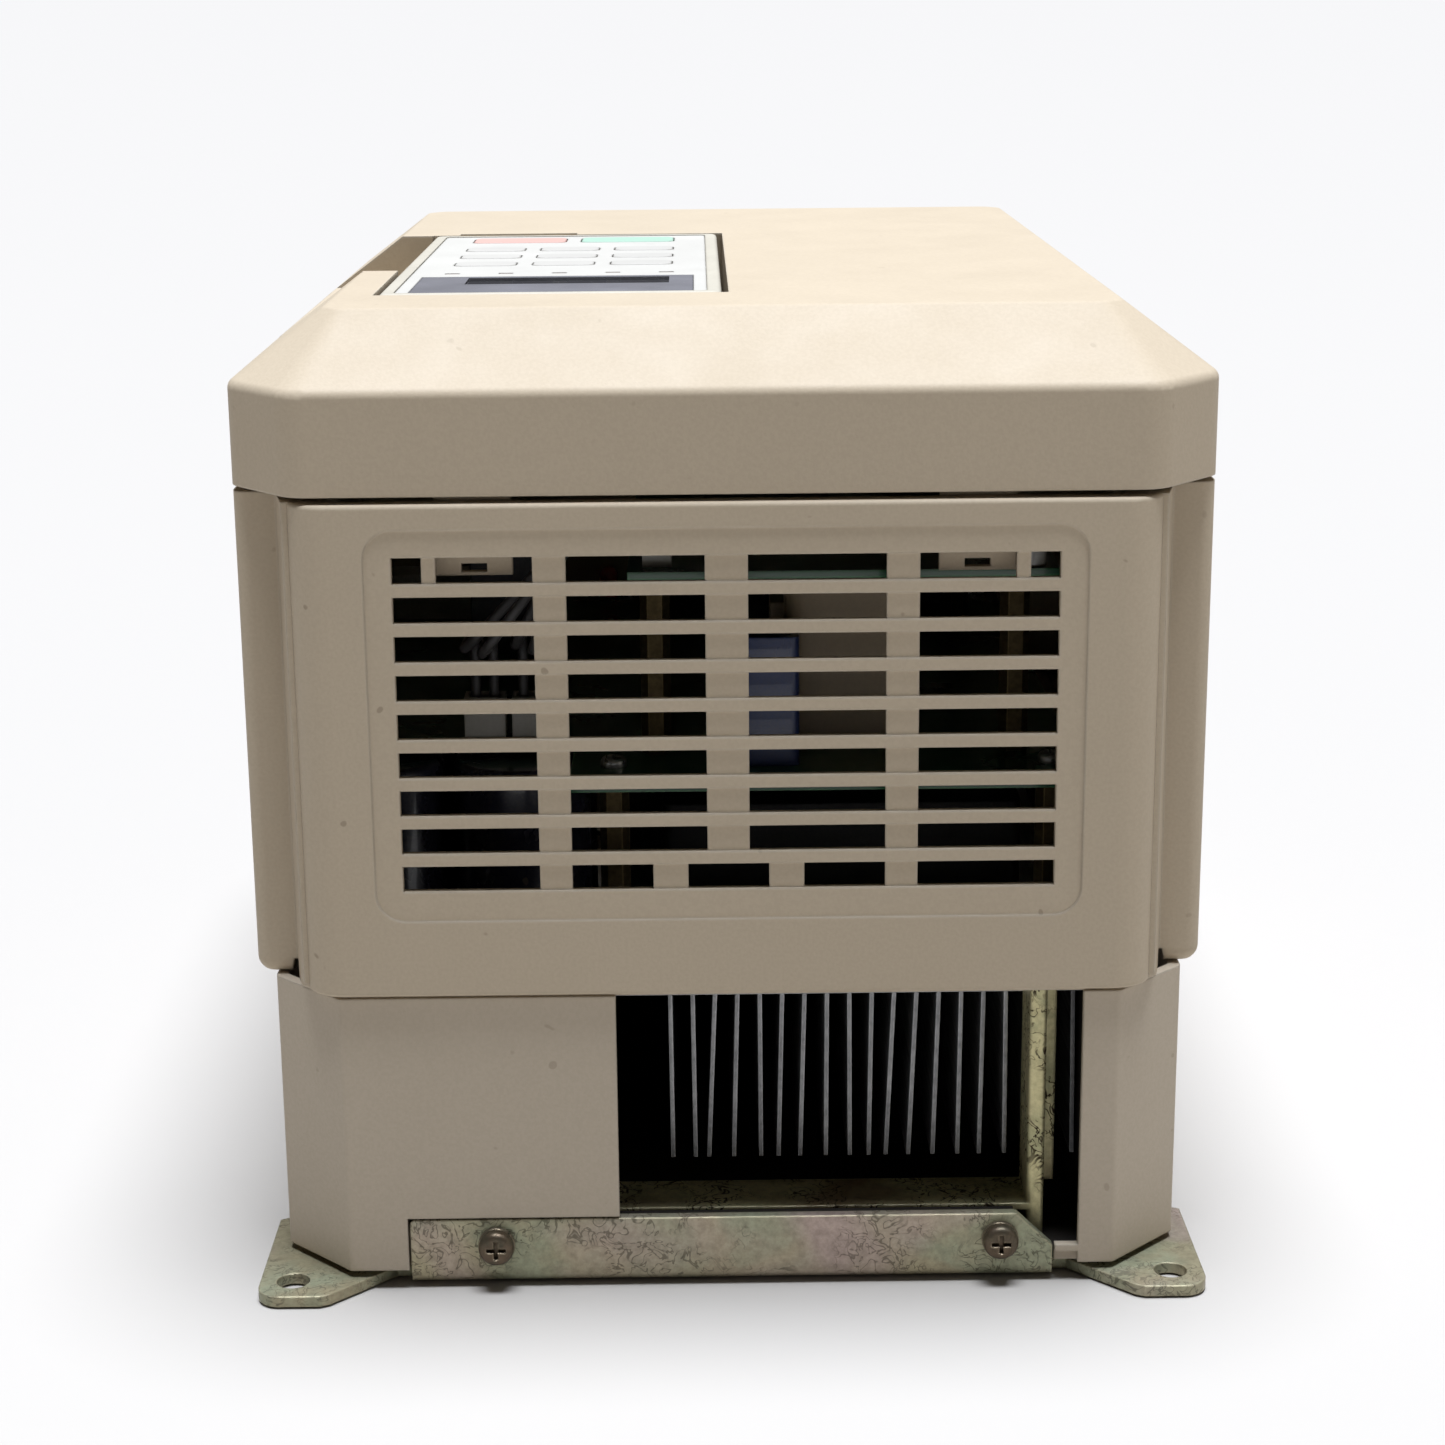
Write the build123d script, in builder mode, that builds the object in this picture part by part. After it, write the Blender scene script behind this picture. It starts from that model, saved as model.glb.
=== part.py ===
"""Variable frequency drive for a three-phase motor, 5.5 to 7.5 kW, lying on its back.

Origin: centre of the footprint, on the mounting plane. +Z runs out of the front cover and the
keypad. The top end of the drive, where warm air leaves, is at -Y; the cable end is at +Y.
Every length is in millimetres.
"""

import math
import os

from build123d import *

os.makedirs("parts", exist_ok=True)

# ---------------------------------------------------------------- driving dimensions
overall_width = 200.0
overall_length = 300.0
overall_height = 205.0
base_height = 65.0  # heat-sink section, from the mounting plane to the upper case
cover_depth = 35.0  # front cover, from its rim to its flat front
cover_gap = 1.4  # shadow line between the case and the cover's rim
wall = 2.5  # moulded plastic walls
fit_gap = 0.3  # clearance between mouldings that slot together
slip = 0.1  # clearance between sheets and plates that lie together

# Mounting holes and brackets
hole_inset_x = 7.0  # mounting holes, in from the overall width
hole_inset_y = 7.5  # and from the overall length
hole_radius = 3.5
sheet = 2.3  # bracket steel
ear_reach = 8.2  # the ears reach past the cover by this much at each end
flange_height = 15.1
flange_half = 68.0
flange_cut_x = 7.8
flange_cut_z = 7.5
bracket_screw_x = (-49.8, 56.8)
bracket_screw_z = 9.6
bracket_inset = 0.8  # flange's outer face, in from the cover's end

# Cover
corner_cut_x = 14.0
corner_cut_y = 16.4
corner_radius = 8.0
skirt_height = 20.6
bevel_run = 19.3
edge_radius = 2.2

# Keypad
keypad_width = 72.0
keypad_length = 140.0
keypad_thickness = 17.0
keypad_x = -36.0  # centre of the keypad
keypad_y = -28.0
keypad_gap = 0.8
keypad_wide_gap = 1.4  # gap on the side away from the latch
key_travel = 0.5
latch_travel = 1.4
notch_length = 89.0  # finger notch beside the keypad's latch
notch_y = -2.5
notch_depth = 13.0

# Vent panel on the top end
panel_width = 175.6
panel_curl = 8.5  # radius of the panel's curled ends
panel_depth = 5.2
slot_pitch = 8.0
slot_height = 5.4
slot_rows = 9
slot_top = 47.0  # top of the first row, below the front of the cover
groove_depth = 0.6

# Heat sink and fans
fin_count = 19
fin_pitch = 4.82
fin_thickness = 0.9
fin_height = 37.6
heatsink_plate = 8.0
heatsink_start = 22.5  # first fin edge, in from the cover's end
heatsink_fan_gap = 9.2  # air space between the heat sink and the fans
fan_size = 50.0
fan_depth = 20.0
fan_rim = 1.5  # fan's wall where its bore comes nearest the outside
shaft_radius = 1.5
shaft_clearance = 0.05
blade_count = 7

# Boards
board = 1.6
power_board_z = 105.0
control_board_drop = 53.0  # top of the control board, below the front of the cover

# ---------------------------------------------------------------- worked-out positions
half_width = overall_width / 2
half_length = overall_length / 2
half_cover = half_length - ear_reach
cover_rim_z = overall_height - cover_depth
skirt_top_z = cover_rim_z + skirt_height
case_top_z = cover_rim_z - cover_gap
bevel_rise = overall_height - skirt_top_z
bevel_angle = math.atan2(bevel_rise, bevel_run)
corner_edge = math.hypot(corner_cut_x, corner_cut_y)
corner_rate = (corner_cut_x + corner_cut_y - corner_edge) / (corner_cut_x * corner_cut_y)

panel_face = half_cover + 1.3  # outer face of the vent panel, from the centre
case_end = panel_face - wall - slip  # end walls of the upper case
wing_end = half_cover - corner_cut_y  # near faces of the case's side wings
shoulder_y = panel_face - panel_depth
shoulder_x = panel_width / 2 + 0.5
curl_x = panel_width / 2 - panel_curl  # where the panel's flat part ends
curl_seat = panel_curl - wall - slip  # radius of the case under the curl
seat_x = curl_x + math.sqrt(curl_seat**2 - (panel_curl - panel_depth) ** 2)

base_half_x = half_width - 4.2
base_half_y = half_cover - 0.6
base_cut = 15.0
base_corner_radius = 1.2
base_floor_z = 3.8
duct_left = -25.8
duct_right = 75.8
duct_centre = (duct_left + duct_right) / 2
divider_top = base_height - heatsink_plate

flange_face = half_cover - bracket_inset
pocket_floor_z = overall_height - keypad_thickness - 0.5
pocket_left = keypad_x - keypad_width / 2 - keypad_gap
pocket_right = keypad_x + keypad_width / 2 + keypad_wide_gap
pocket_near = keypad_y - keypad_length / 2 - keypad_gap
pocket_far = keypad_y + keypad_length / 2 + keypad_gap
hook_y = case_end - wall - fit_gap  # outer face of the cover's hooks
seat_depth = 4.6  # ribs behind the brackets, which take their screws
fan_z = base_height - 1.3 - fan_size / 2
fan_out = flange_face - sheet - seat_depth - 2 * slip  # outer faces of the fans
fan_in = fan_out - fan_depth
fan_bore = fan_size - 2 * fan_rim
control_board_z = overall_height - control_board_drop


def span_box(x, y, z, mode=Mode.ADD):
    """Box between two limits along each axis."""
    with Locations(((x[0] + x[1]) / 2, (y[0] + y[1]) / 2, (z[0] + z[1]) / 2)):
        Box(x[1] - x[0], y[1] - y[0], z[1] - z[0], mode=mode)


def pegs(points, radius, low, high, mode=Mode.ADD):
    """Upright cylinders between two heights."""
    with Locations(*[(x, y, (low + high) / 2) for x, y in points]):
        Cylinder(radius, high - low, mode=mode)


def cover_plan(inset, radius):
    """Plan of the cover, a rectangle with cut corners, moved in by inset."""
    half_x = half_width - inset
    half_y = half_cover - inset
    share = 1 - inset * corner_rate
    cut_x = corner_cut_x * share
    cut_y = corner_cut_y * share
    with BuildSketch() as plan:
        with BuildLine():
            Polyline(
                (half_x, cut_y - half_y),
                (half_x, half_y - cut_y),
                (half_x - cut_x, half_y),
                (cut_x - half_x, half_y),
                (-half_x, half_y - cut_y),
                (-half_x, cut_y - half_y),
                (cut_x - half_x, -half_y),
                (half_x - cut_x, -half_y),
                close=True,
            )
        make_face()
        fillet(plan.vertices(), radius)
    return plan.sketch


def cover_form(inset, rounding):
    """Solid form of the cover, moved in by inset all over, with its top edges rounded."""
    shift = inset * math.tan(bevel_angle / 2)
    knee_z = skirt_top_z - shift
    top_z = overall_height - inset
    with BuildPart() as form:
        with BuildSketch(Plane.XY.offset(cover_rim_z)):
            add(cover_plan(inset, corner_radius - inset))
        extrude(amount=knee_z - cover_rim_z)
        with BuildSketch(Plane.XY.offset(knee_z)):
            add(cover_plan(inset, corner_radius - inset))
        with BuildSketch(Plane.XY.offset(top_z)):
            add(cover_plan(bevel_run + shift, corner_radius / 2))
        loft(ruled=True)
        if rounding > 0:
            knee = form.edges().filter_by_position(Axis.Z, knee_z - 0.01, knee_z + 0.01)
            fillet(knee, rounding)
            crown = form.edges().filter_by_position(Axis.Z, top_z - 0.01, top_z + 0.01)
            fillet(crown, rounding * 0.7)
    return form.part


def base_plan(inset):
    """Plan of the base, a rectangle with cut corners, moved in by inset."""
    half_x = base_half_x - inset
    half_y = base_half_y - inset
    cut = base_cut - inset * (2 - math.sqrt(2))
    with BuildSketch() as plan:
        Rectangle(2 * half_x, 2 * half_y)
        chamfer(plan.vertices(), cut)
        fillet(plan.vertices(), base_corner_radius)
    return plan.sketch


# ---------------------------------------------------------------- front cover
hook_x = (-50.3, 50.3)
hook_width = 15.4
hook_low_z = overall_height - 51.6
snap_y = half_cover - 38.0
snap_width = 18.0
floor_thickness = 2.0
plug_x = keypad_x
plug_y = keypad_y + 12.0
plug_width = 24.0
plug_length = 8.0

notch_floor_z = overall_height - notch_depth
notch_near = notch_y - notch_length / 2
notch_far = notch_y + notch_length / 2

with BuildPart() as notch_block:
    add(cover_form(0, 0))
    span_box(
        (-half_width, pocket_left),
        (notch_near - wall, notch_far + wall),
        (notch_floor_z - wall, overall_height),
        mode=Mode.INTERSECT,
    )

with BuildPart() as front_cover:
    add(cover_form(0, edge_radius))
    add(cover_form(wall, 0), mode=Mode.SUBTRACT)
    # well that holds the keypad
    span_box(
        (pocket_left - floor_thickness, pocket_right + floor_thickness),
        (pocket_near - floor_thickness, pocket_far + floor_thickness),
        (pocket_floor_z - floor_thickness, overall_height - 1),
    )
    add(notch_block.part)
    span_box(
        (pocket_left, pocket_right),
        (pocket_near, pocket_far),
        (pocket_floor_z, overall_height + 1),
        mode=Mode.SUBTRACT,
    )
    # finger notch at the latch, open at the side
    span_box(
        (-half_width - 1, pocket_left + 1),
        (notch_near, notch_far),
        (notch_floor_z, overall_height + 1),
        mode=Mode.SUBTRACT,
    )
    # shallow thumb recess beyond the keypad's far edge
    span_box(
        (keypad_x - 30, keypad_x),
        (pocket_far - 1, pocket_far + 4),
        (overall_height - 1.2, overall_height + 1),
        mode=Mode.SUBTRACT,
    )
    # way through the floor for the keypad's plug
    span_box(
        (plug_x - plug_width / 2 - 2, plug_x + plug_width / 2 + 2),
        (plug_y - plug_length / 2 - 2, plug_y + plug_length / 2 + 2),
        (pocket_floor_z - floor_thickness - 1, pocket_floor_z + 1),
        mode=Mode.SUBTRACT,
    )
    # hooks that go in behind the vent panel
    for x in hook_x:
        span_box(
            (x - hook_width / 2, x + hook_width / 2),
            (-hook_y, 2.0 - hook_y),
            (hook_low_z, skirt_top_z - 4),
        )
        span_box(
            (x - hook_width / 2, x + hook_width / 2),
            (-half_cover + wall / 2, 2.0 - hook_y),
            (cover_rim_z + 2, skirt_top_z - 4),
        )
        span_box(
            (x - 2.6, x + 2.6),
            (-hook_y - 1, 3.0 - hook_y),
            (hook_low_z + 0.7, hook_low_z + 2.4),
            mode=Mode.SUBTRACT,
        )
    # side tabs that locate the cover's far end inside the case
    for side in (-1, 1):
        inner = side * (half_width - wall)
        span_box(
            sorted((inner - side * 2.3, inner - side * fit_gap)),
            (snap_y - snap_width / 2, snap_y + snap_width / 2),
            (cover_rim_z - 12, cover_rim_z + 8),
        )
        span_box(
            sorted((inner - side * 1, inner + side * 1)),
            (snap_y - snap_width / 2, snap_y + snap_width / 2),
            (cover_rim_z + 2, cover_rim_z + 8),
        )
front_cover.part.label = "front_cover"
export_step(front_cover.part, "parts/front_cover.step")

# ---------------------------------------------------------------- upper case
window_half = 73.5
window_low_z = case_top_z - 84.6
window_high_z = case_top_z - 6.8
cable_window_half = 70.0
cable_window_low_z = base_height + 23.0
cable_window_high_z = case_top_z - 8.6
shelf_near = half_cover - 74.0
shelf_far = half_cover - 42.0
shelf_z = base_height + 16.0
shelf_thickness = 3.0
partition_top_z = control_board_z - 4.0
shoulder_low_z = base_height + 2.2  # the case's corners follow the base's outline up to here

with BuildPart() as corner_relief:
    span_box(
        (-half_width - 1, half_width + 1),
        (-half_length, half_length),
        (base_height - 1, shoulder_low_z),
    )
    with BuildSketch(Plane.XY.offset(base_height - 1)):
        add(base_plan(0))
    extrude(amount=shoulder_low_z - base_height + 1, mode=Mode.SUBTRACT)
    span_box(
        (-half_width - 2, half_width + 2),
        (-wing_end, wing_end),
        (base_height - 2, shoulder_low_z + 1),
        mode=Mode.SUBTRACT,
    )

with BuildPart() as upper_case:
    with BuildSketch(Plane.XY.offset(base_height)):
        with BuildLine():
            Line((0, -case_end), (curl_x, -case_end))
            TangentArc((curl_x, -case_end), (seat_x, -shoulder_y), tangent=(1, 0))
            Polyline(
                (seat_x, -shoulder_y),
                (shoulder_x, -shoulder_y),
                (shoulder_x + 2.9, -wing_end),
                (half_width, -wing_end),
                (half_width, 0),
                (0, 0),
                (0, -case_end),
            )
        make_face()
        mirror(about=Plane.XZ)
        mirror(about=Plane.YZ)
    extrude(amount=case_top_z - base_height)
    uprights = upper_case.edges().filter_by(Axis.Z)
    fillet(uprights.group_by(Axis.X)[-1] + uprights.group_by(Axis.X)[0], 3.0)
    # rounded lower edges of the side wings
    low = upper_case.edges().filter_by(Axis.Y).group_by(Axis.Z)[0]
    fillet(low.sort_by(Axis.X)[0], 3.5)
    low = upper_case.edges().filter_by(Axis.Y).group_by(Axis.Z)[0]
    fillet(low.sort_by(Axis.X)[-1], 3.5)
    # hollow, above a rim that stands on the base
    span_box(
        (wall - half_width, half_width - wall),
        (wall - wing_end, wing_end - wall),
        (base_height + wall, case_top_z + 1),
        mode=Mode.SUBTRACT,
    )
    span_box(
        (-curl_x, curl_x),
        (wall - case_end, case_end - wall),
        (base_height + wall, case_top_z + 1),
        mode=Mode.SUBTRACT,
    )
    with BuildSketch(Plane.XY.offset(base_height - 1)):
        add(base_plan(wall + 0.8))
    extrude(amount=wall + 2, mode=Mode.SUBTRACT)
    add(corner_relief.part, mode=Mode.SUBTRACT)
    # air window behind the vent panel, and the window behind the cable plate
    span_box(
        (-window_half, window_half),
        (-case_end - 1, wall + 1 - case_end),
        (window_low_z, window_high_z),
        mode=Mode.SUBTRACT,
    )
    span_box(
        (-cable_window_half, cable_window_half),
        (case_end - wall - 1, case_end + 1),
        (cable_window_low_z, cable_window_high_z),
        mode=Mode.SUBTRACT,
    )
    # shelf for the main terminals
    span_box(
        (wall / 2 - half_width, half_width - wall / 2),
        (shelf_near, shelf_far),
        (shelf_z, shelf_z + shelf_thickness),
    )
    # upright between the electronics and the wiring space
    span_box(
        (wall / 2 - half_width, half_width - wall / 2),
        (shelf_near, shelf_near + wall),
        (shelf_z, partition_top_z),
    )
upper_case.part.label = "upper_case"
export_step(upper_case.part, "parts/upper_case.step")

# ---------------------------------------------------------------- vent panel
panel_low_z = base_height + 1.0
slot_columns = ((-66.4, -38.5), (-31.9, -4.3), (4.3, 31.9), (38.5, 66.4))
last_row_columns = ((-66.4, -38.5), (-31.9, -15.4), (-8.25, 8.25), (15.4, 31.9), (38.5, 66.4))
small_rib = 2.8
small_rib_x = 59.1

with BuildPart() as top_vent_panel:
    with BuildSketch(Plane.XY.offset(panel_low_z)):
        with Locations((0, 20 - panel_face)):
            RectangleRounded(panel_width, 40, panel_curl)
            RectangleRounded(panel_width - 2 * wall, 40 - 2 * wall, panel_curl - wall, mode=Mode.SUBTRACT)
        with Locations((0, panel_depth / 2 - panel_face)):
            Rectangle(panel_width + 2, panel_depth, mode=Mode.INTERSECT)
    extrude(amount=case_top_z - panel_low_z)
    # rounded lower corners
    with BuildSketch(Plane.XZ.offset(panel_face + 1)):
        with Locations((0, (panel_low_z + case_top_z + 10) / 2)):
            RectangleRounded(panel_width, case_top_z + 10 - panel_low_z, 1.8)
    extrude(amount=-panel_depth - 2, mode=Mode.INTERSECT)
    outer_rim = top_vent_panel.faces().sort_by(Axis.Y)[0].edges().group_by(Axis.Z)
    fillet(outer_rim[-1], 0.8)
    outer_rim = top_vent_panel.faces().sort_by(Axis.Y)[0].edges().group_by(Axis.Z)
    fillet(outer_rim[0], 0.8)
    # shallow stepped field around the slots
    field_low_z = overall_height - 122.7
    field_high_z = overall_height - 41.4
    with BuildSketch(Plane.XZ.offset(panel_face + 1)):
        with Locations((0, (field_low_z + field_high_z) / 2)):
            RectangleRounded(144, field_high_z - field_low_z, 6)
    extrude(amount=-1.4, mode=Mode.SUBTRACT)
    # slots, with the ribs between them set back a little from the bars
    for row in range(slot_rows):
        top = overall_height - slot_top - row * slot_pitch
        last = row == slot_rows - 1
        columns = last_row_columns if last else slot_columns
        span_box(
            (columns[0][0], columns[-1][1]),
            (-panel_face - 1, groove_depth + 0.4 - panel_face),
            (top - slot_height, top),
            mode=Mode.SUBTRACT,
        )
        for left, right in columns:
            span_box(
                (left, right),
                (-panel_face - 1, wall + 1 - panel_face),
                (top - slot_height, top),
                mode=Mode.SUBTRACT,
            )
    for side in (-1, 1):
        span_box(
            sorted((side * (small_rib_x - small_rib / 2), side * (small_rib_x + small_rib / 2))),
            (groove_depth + 0.4 - panel_face, wall - panel_face),
            (overall_height - slot_top - slot_height - 0.5, overall_height - slot_top + 0.5),
        )
top_vent_panel.part.label = "top_vent_panel"
export_step(top_vent_panel.part, "parts/top_vent_panel.step")

# ---------------------------------------------------------------- base case
outlet_left = -23.7
outlet_right = 73.4
flange_gap = 0.5
flange_cover = 1.5  # how far the bracket's flange hides the outlet's lower edge
outlet_low_z = flange_height - flange_cover
outlet_sill_z = 7.8
outlet_slant_x = flange_half - flange_cut_x  # where the lower edge starts to follow the flange's cut
notch_half = flange_half + flange_gap
fan_window_low = flange_height + flange_gap + 1.2
fan_window_high = base_height - 1.0
shank_hole = 2.05


with BuildPart() as base_case:
    with BuildSketch(Plane.XY.offset(base_floor_z)):
        add(base_plan(0))
    extrude(amount=base_height - base_floor_z)
    with BuildSketch(Plane.XY.offset(base_floor_z + wall)):
        add(base_plan(wall))
    extrude(amount=base_height - base_floor_z, mode=Mode.SUBTRACT)
    # dividers on both sides of the air duct; the heat sink lies on them
    for x in ((duct_left - wall, duct_left), (duct_right, duct_right + wall)):
        span_box(x, (wall / 2 - base_half_y, base_half_y - wall / 2), (base_floor_z + 1, divider_top))
    # ribs that take the bracket screws, and the notches that the bracket flanges lie in
    for end in (-1, 1):
        seat_face = end * (flange_face - sheet - slip)
        span_box(
            sorted((end * (notch_half + wall), -end * (flange_half - flange_cut_x))),
            sorted((end * (base_half_y - wall / 2), seat_face - end * seat_depth)),
            (base_floor_z, outlet_low_z),
        )
        with BuildSketch(Plane.XZ.offset(-seat_face)):
            with BuildLine():
                Polyline(
                    (end * notch_half, -1),
                    (end * notch_half, flange_height + flange_gap),
                    (-end * (flange_half - flange_cut_x + flange_gap / 2), flange_height + flange_gap),
                    (-end * notch_half, flange_height - flange_cut_z + flange_gap / 2),
                    (-end * notch_half, -1),
                    close=True,
                )
            make_face()
        extrude(amount=-end * 10, mode=Mode.SUBTRACT)
    # outlet of the duct in the top end
    with BuildSketch(Plane.XZ.offset(base_half_y + 1)):
        with BuildLine():
            Polyline(
                (outlet_left, base_height + 1),
                (outlet_left, outlet_low_z),
                (outlet_slant_x, outlet_low_z),
                (outlet_slant_x + (outlet_low_z - outlet_sill_z) * flange_cut_x / flange_cut_z, outlet_sill_z),
                (outlet_right, outlet_sill_z),
                (outlet_right, base_height + 1),
                close=True,
            )
        make_face()
    extrude(amount=-wall - 2, mode=Mode.SUBTRACT)
    span_box(
        (notch_half - 0.1, outlet_right),
        (-base_half_y - 1, 1.6 - base_half_y),
        (base_floor_z - 1, outlet_sill_z - 1.5),
        mode=Mode.SUBTRACT,
    )
    # window for the fan guard in the cable end, and the rails that the fans stand on
    span_box(
        (duct_left + fit_gap, duct_right - fit_gap),
        (base_half_y - wall - 1, base_half_y + 1),
        (fan_window_low, fan_window_high),
        mode=Mode.SUBTRACT,
    )
    for rail_y in (fan_in + 3, fan_out - 3):
        span_box(
            (duct_left - 1, duct_right + 1),
            (rail_y - 1, rail_y + 1),
            (base_floor_z + 1, fan_z - fan_size / 2),
        )
    # screw holes
    for end in (-1, 1):
        for x in bracket_screw_x:
            with Locations(Plane((-end * x, end * (base_half_y - 5), bracket_screw_z), z_dir=(0, 1, 0))):
                Cylinder(shank_hole, 14, mode=Mode.SUBTRACT)
base_case.part.label = "base_case"
export_step(base_case.part, "parts/base_case.step")

# ---------------------------------------------------------------- mounting brackets
ear_hole_x = half_width - hole_inset_x
ear_hole_y = half_length - hole_inset_y
ear_root = 42.0  # how far each ear runs back along the base
plate_depth = 46.0
bend_radius = 3.8


def mounting_bracket():
    """Angle bracket at the top end: a plate with two ears, and a flange turned up in front of the base."""
    flange_y = -flange_face
    bend_y = flange_y + bend_radius + 1.2
    back_y = plate_depth - half_length
    with BuildPart() as bracket:
        with BuildSketch(Plane.XY):
            with BuildLine():
                Polyline(
                    (0, flange_y + 0.5),
                    (flange_half, flange_y + 0.5),
                    (flange_half + 0.5, bend_y),
                    (flange_half + 3.5, bend_y),
                    (half_width - 15.5, -half_length + 1),
                    (half_width - 13.5, -half_length),
                    (half_width, -half_length),
                    (half_width, ear_root - 4 - half_length),
                    (half_width - 7, ear_root - half_length),
                    (half_width - 7, back_y),
                    (0, back_y),
                    close=True,
                )
            plate = make_face()
            fillet(plate.vertices().sort_by_distance(Vector(half_width, -half_length))[0], 5)
            fillet(plate.vertices().sort_by_distance(Vector(half_width - 15.5, 1 - half_length))[0], 6)
            mirror(about=Plane.YZ)
        extrude(amount=sheet)
        with BuildSketch(Plane.XZ.offset(-flange_y)):
            with BuildLine():
                Polyline(
                    (-flange_half, 0),
                    (flange_half, 0),
                    (flange_half, flange_height - flange_cut_z),
                    (flange_half - flange_cut_x, flange_height),
                    (-flange_half, flange_height),
                    close=True,
                )
            make_face()
        extrude(amount=-sheet)
        for y, z, radius in ((flange_y + sheet, sheet, bend_radius - sheet), (flange_y, 0, bend_radius)):
            bend = bracket.edges().filter_by(Axis.X).filter_by_position(Axis.Z, z - 0.01, z + 0.01)
            fillet(bend.filter_by_position(Axis.Y, y - 0.01, y + 0.01), radius)
        fillet(bracket.edges().filter_by(Axis.Y).group_by(Axis.Z)[-1], 1.0)
        ear_holes = [(x, -ear_hole_y) for x in (-ear_hole_x, ear_hole_x)]
        pegs(ear_holes, hole_radius, -1, sheet + 1, Mode.SUBTRACT)
        for x in bracket_screw_x:
            with Locations(Plane((x, flange_y, bracket_screw_z), z_dir=(0, 1, 0))):
                Cylinder(shank_hole + 0.2, 3 * sheet, mode=Mode.SUBTRACT)
    return bracket.part


with BuildPart() as mounting_bracket_top:
    add(mounting_bracket())
mounting_bracket_top.part.label = "mounting_bracket_top"
export_step(mounting_bracket_top.part, "parts/mounting_bracket_top.step")

with BuildPart() as mounting_bracket_bottom:
    add(mounting_bracket().rotate(Axis.Z, 180))
mounting_bracket_bottom.part.label = "mounting_bracket_bottom"
export_step(mounting_bracket_bottom.part, "parts/mounting_bracket_bottom.step")

# spring washers and pan-head screws that hold the brackets
washer_radius = 3.9
washer_thickness = 1.1
head_radius = 3.75
head_height = 2.6
screw_places = [(-end * x, end) for end in (-1, 1) for x in bracket_screw_x]

with BuildPart() as spring_washers:
    for x, end in screw_places:
        seat = Plane((x, end * flange_face, bracket_screw_z), x_dir=(1, 0, 0), z_dir=(0, end, 0))
        with BuildSketch(seat):
            Circle(washer_radius)
            Circle(shank_hole + 0.1, mode=Mode.SUBTRACT)
            with Locations((2.5, 2.5)):
                Rectangle(5, 0.5, rotation=45, mode=Mode.SUBTRACT)
        extrude(amount=washer_thickness)
spring_washers.part.label = "spring_washers"
export_step(spring_washers.part, "parts/spring_washers.step")


def cross_screw(seat, shank_radius, shank, radius, height, recess):
    """Pan-head screw with a cross recess; seat is the plane under its head."""
    top = seat.offset(height)
    with BuildPart() as screw:
        with BuildSketch(seat):
            Circle(radius)
        extrude(amount=height)
        fillet(screw.edges().group_by(Axis(seat.origin, seat.z_dir))[-1], height * 0.55)
        for turn in (0, 90):
            with BuildSketch(top):
                Rectangle(radius * 1.1, radius * 0.24, rotation=turn)
            extrude(amount=-recess, mode=Mode.SUBTRACT)
        if shank > 0:
            with BuildSketch(seat):
                Circle(shank_radius)
            extrude(amount=-shank)
    return screw.part


with BuildPart() as bracket_screws:
    for x, end in screw_places:
        head = end * (flange_face + washer_thickness)
        seat = Plane((x, head, bracket_screw_z), x_dir=(1, 0, 0), z_dir=(0, end, 0))
        add(cross_screw(seat, shank_hole - slip, 10, head_radius, head_height, 1.5))
bracket_screws.part.label = "bracket_screws"
export_step(bracket_screws.part, "parts/bracket_screws.step")

# ---------------------------------------------------------------- heat sink
fin_near = heatsink_start - half_cover
fin_far = fan_in - heatsink_fan_gap
fin_first_x = -13.1
fin_low_z = divider_top - fin_height
# how far each fin's free edge is bent sideways, from the left
fin_bend = (0.2, 0.3, -1.6, -1.0, 0.1, -0.9, -1.0, -0.2, 0.2, -0.5)
fin_bend += (-1.6, -1.5, -1.0, -0.4, -0.5, 0.2, 0.3, -0.4, 0.5)

with BuildPart() as heatsink_base:
    span_box((duct_left - wall, duct_right + wall), (fin_near, fin_far), (divider_top, base_height))
heatsink_base.part.label = "heatsink_base"
export_step(heatsink_base.part, "parts/heatsink_base.step")

# thin fins let into the plate, each with its free edge bent a little sideways
with BuildPart() as heatsink_fins:
    for index in range(fin_count):
        x = fin_first_x + index * fin_pitch
        tip = x + fin_bend[index % len(fin_bend)]
        with BuildSketch(Plane.XZ.offset(-fin_near)):
            with BuildLine():
                Polyline(
                    (x, divider_top),
                    (x + fin_thickness, divider_top),
                    (tip + fin_thickness, fin_low_z),
                    (tip, fin_low_z),
                    close=True,
                )
            make_face()
        extrude(amount=fin_near - fin_far)
heatsink_fins.part.label = "heatsink_fins"
export_step(heatsink_fins.part, "parts/heatsink_fins.step")

# steel frame ahead of the fins: a floor strip and a post
strip_thickness = 1.5
strip_z = 14.0
strip_near = 8.3 - half_cover
strip_far = fin_near - 0.5
post_x = 63.2
post_width = 3.7
post_top_z = base_height + 14.0

with BuildPart() as duct_frame:
    span_box(
        (duct_left + fit_gap, post_x + post_width),
        (strip_near, strip_far),
        (strip_z - strip_thickness, strip_z),
    )
    span_box((post_x, post_x + post_width), (strip_near, strip_far), (base_floor_z + wall, post_top_z))
    fillet(duct_frame.edges().filter_by(Axis.Z).group_by(Axis.Y)[0], 1.0)
    span_box((post_x, post_x + 7.2), (strip_far - strip_thickness, strip_far), (strip_z, post_top_z))
    for x in (duct_left + 8, post_x - 18):
        span_box((x - 5, x + 5), (strip_near, strip_far), (base_floor_z + wall, strip_z - strip_thickness))
duct_frame.part.label = "duct_frame"
export_step(duct_frame.part, "parts/duct_frame.step")

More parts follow.
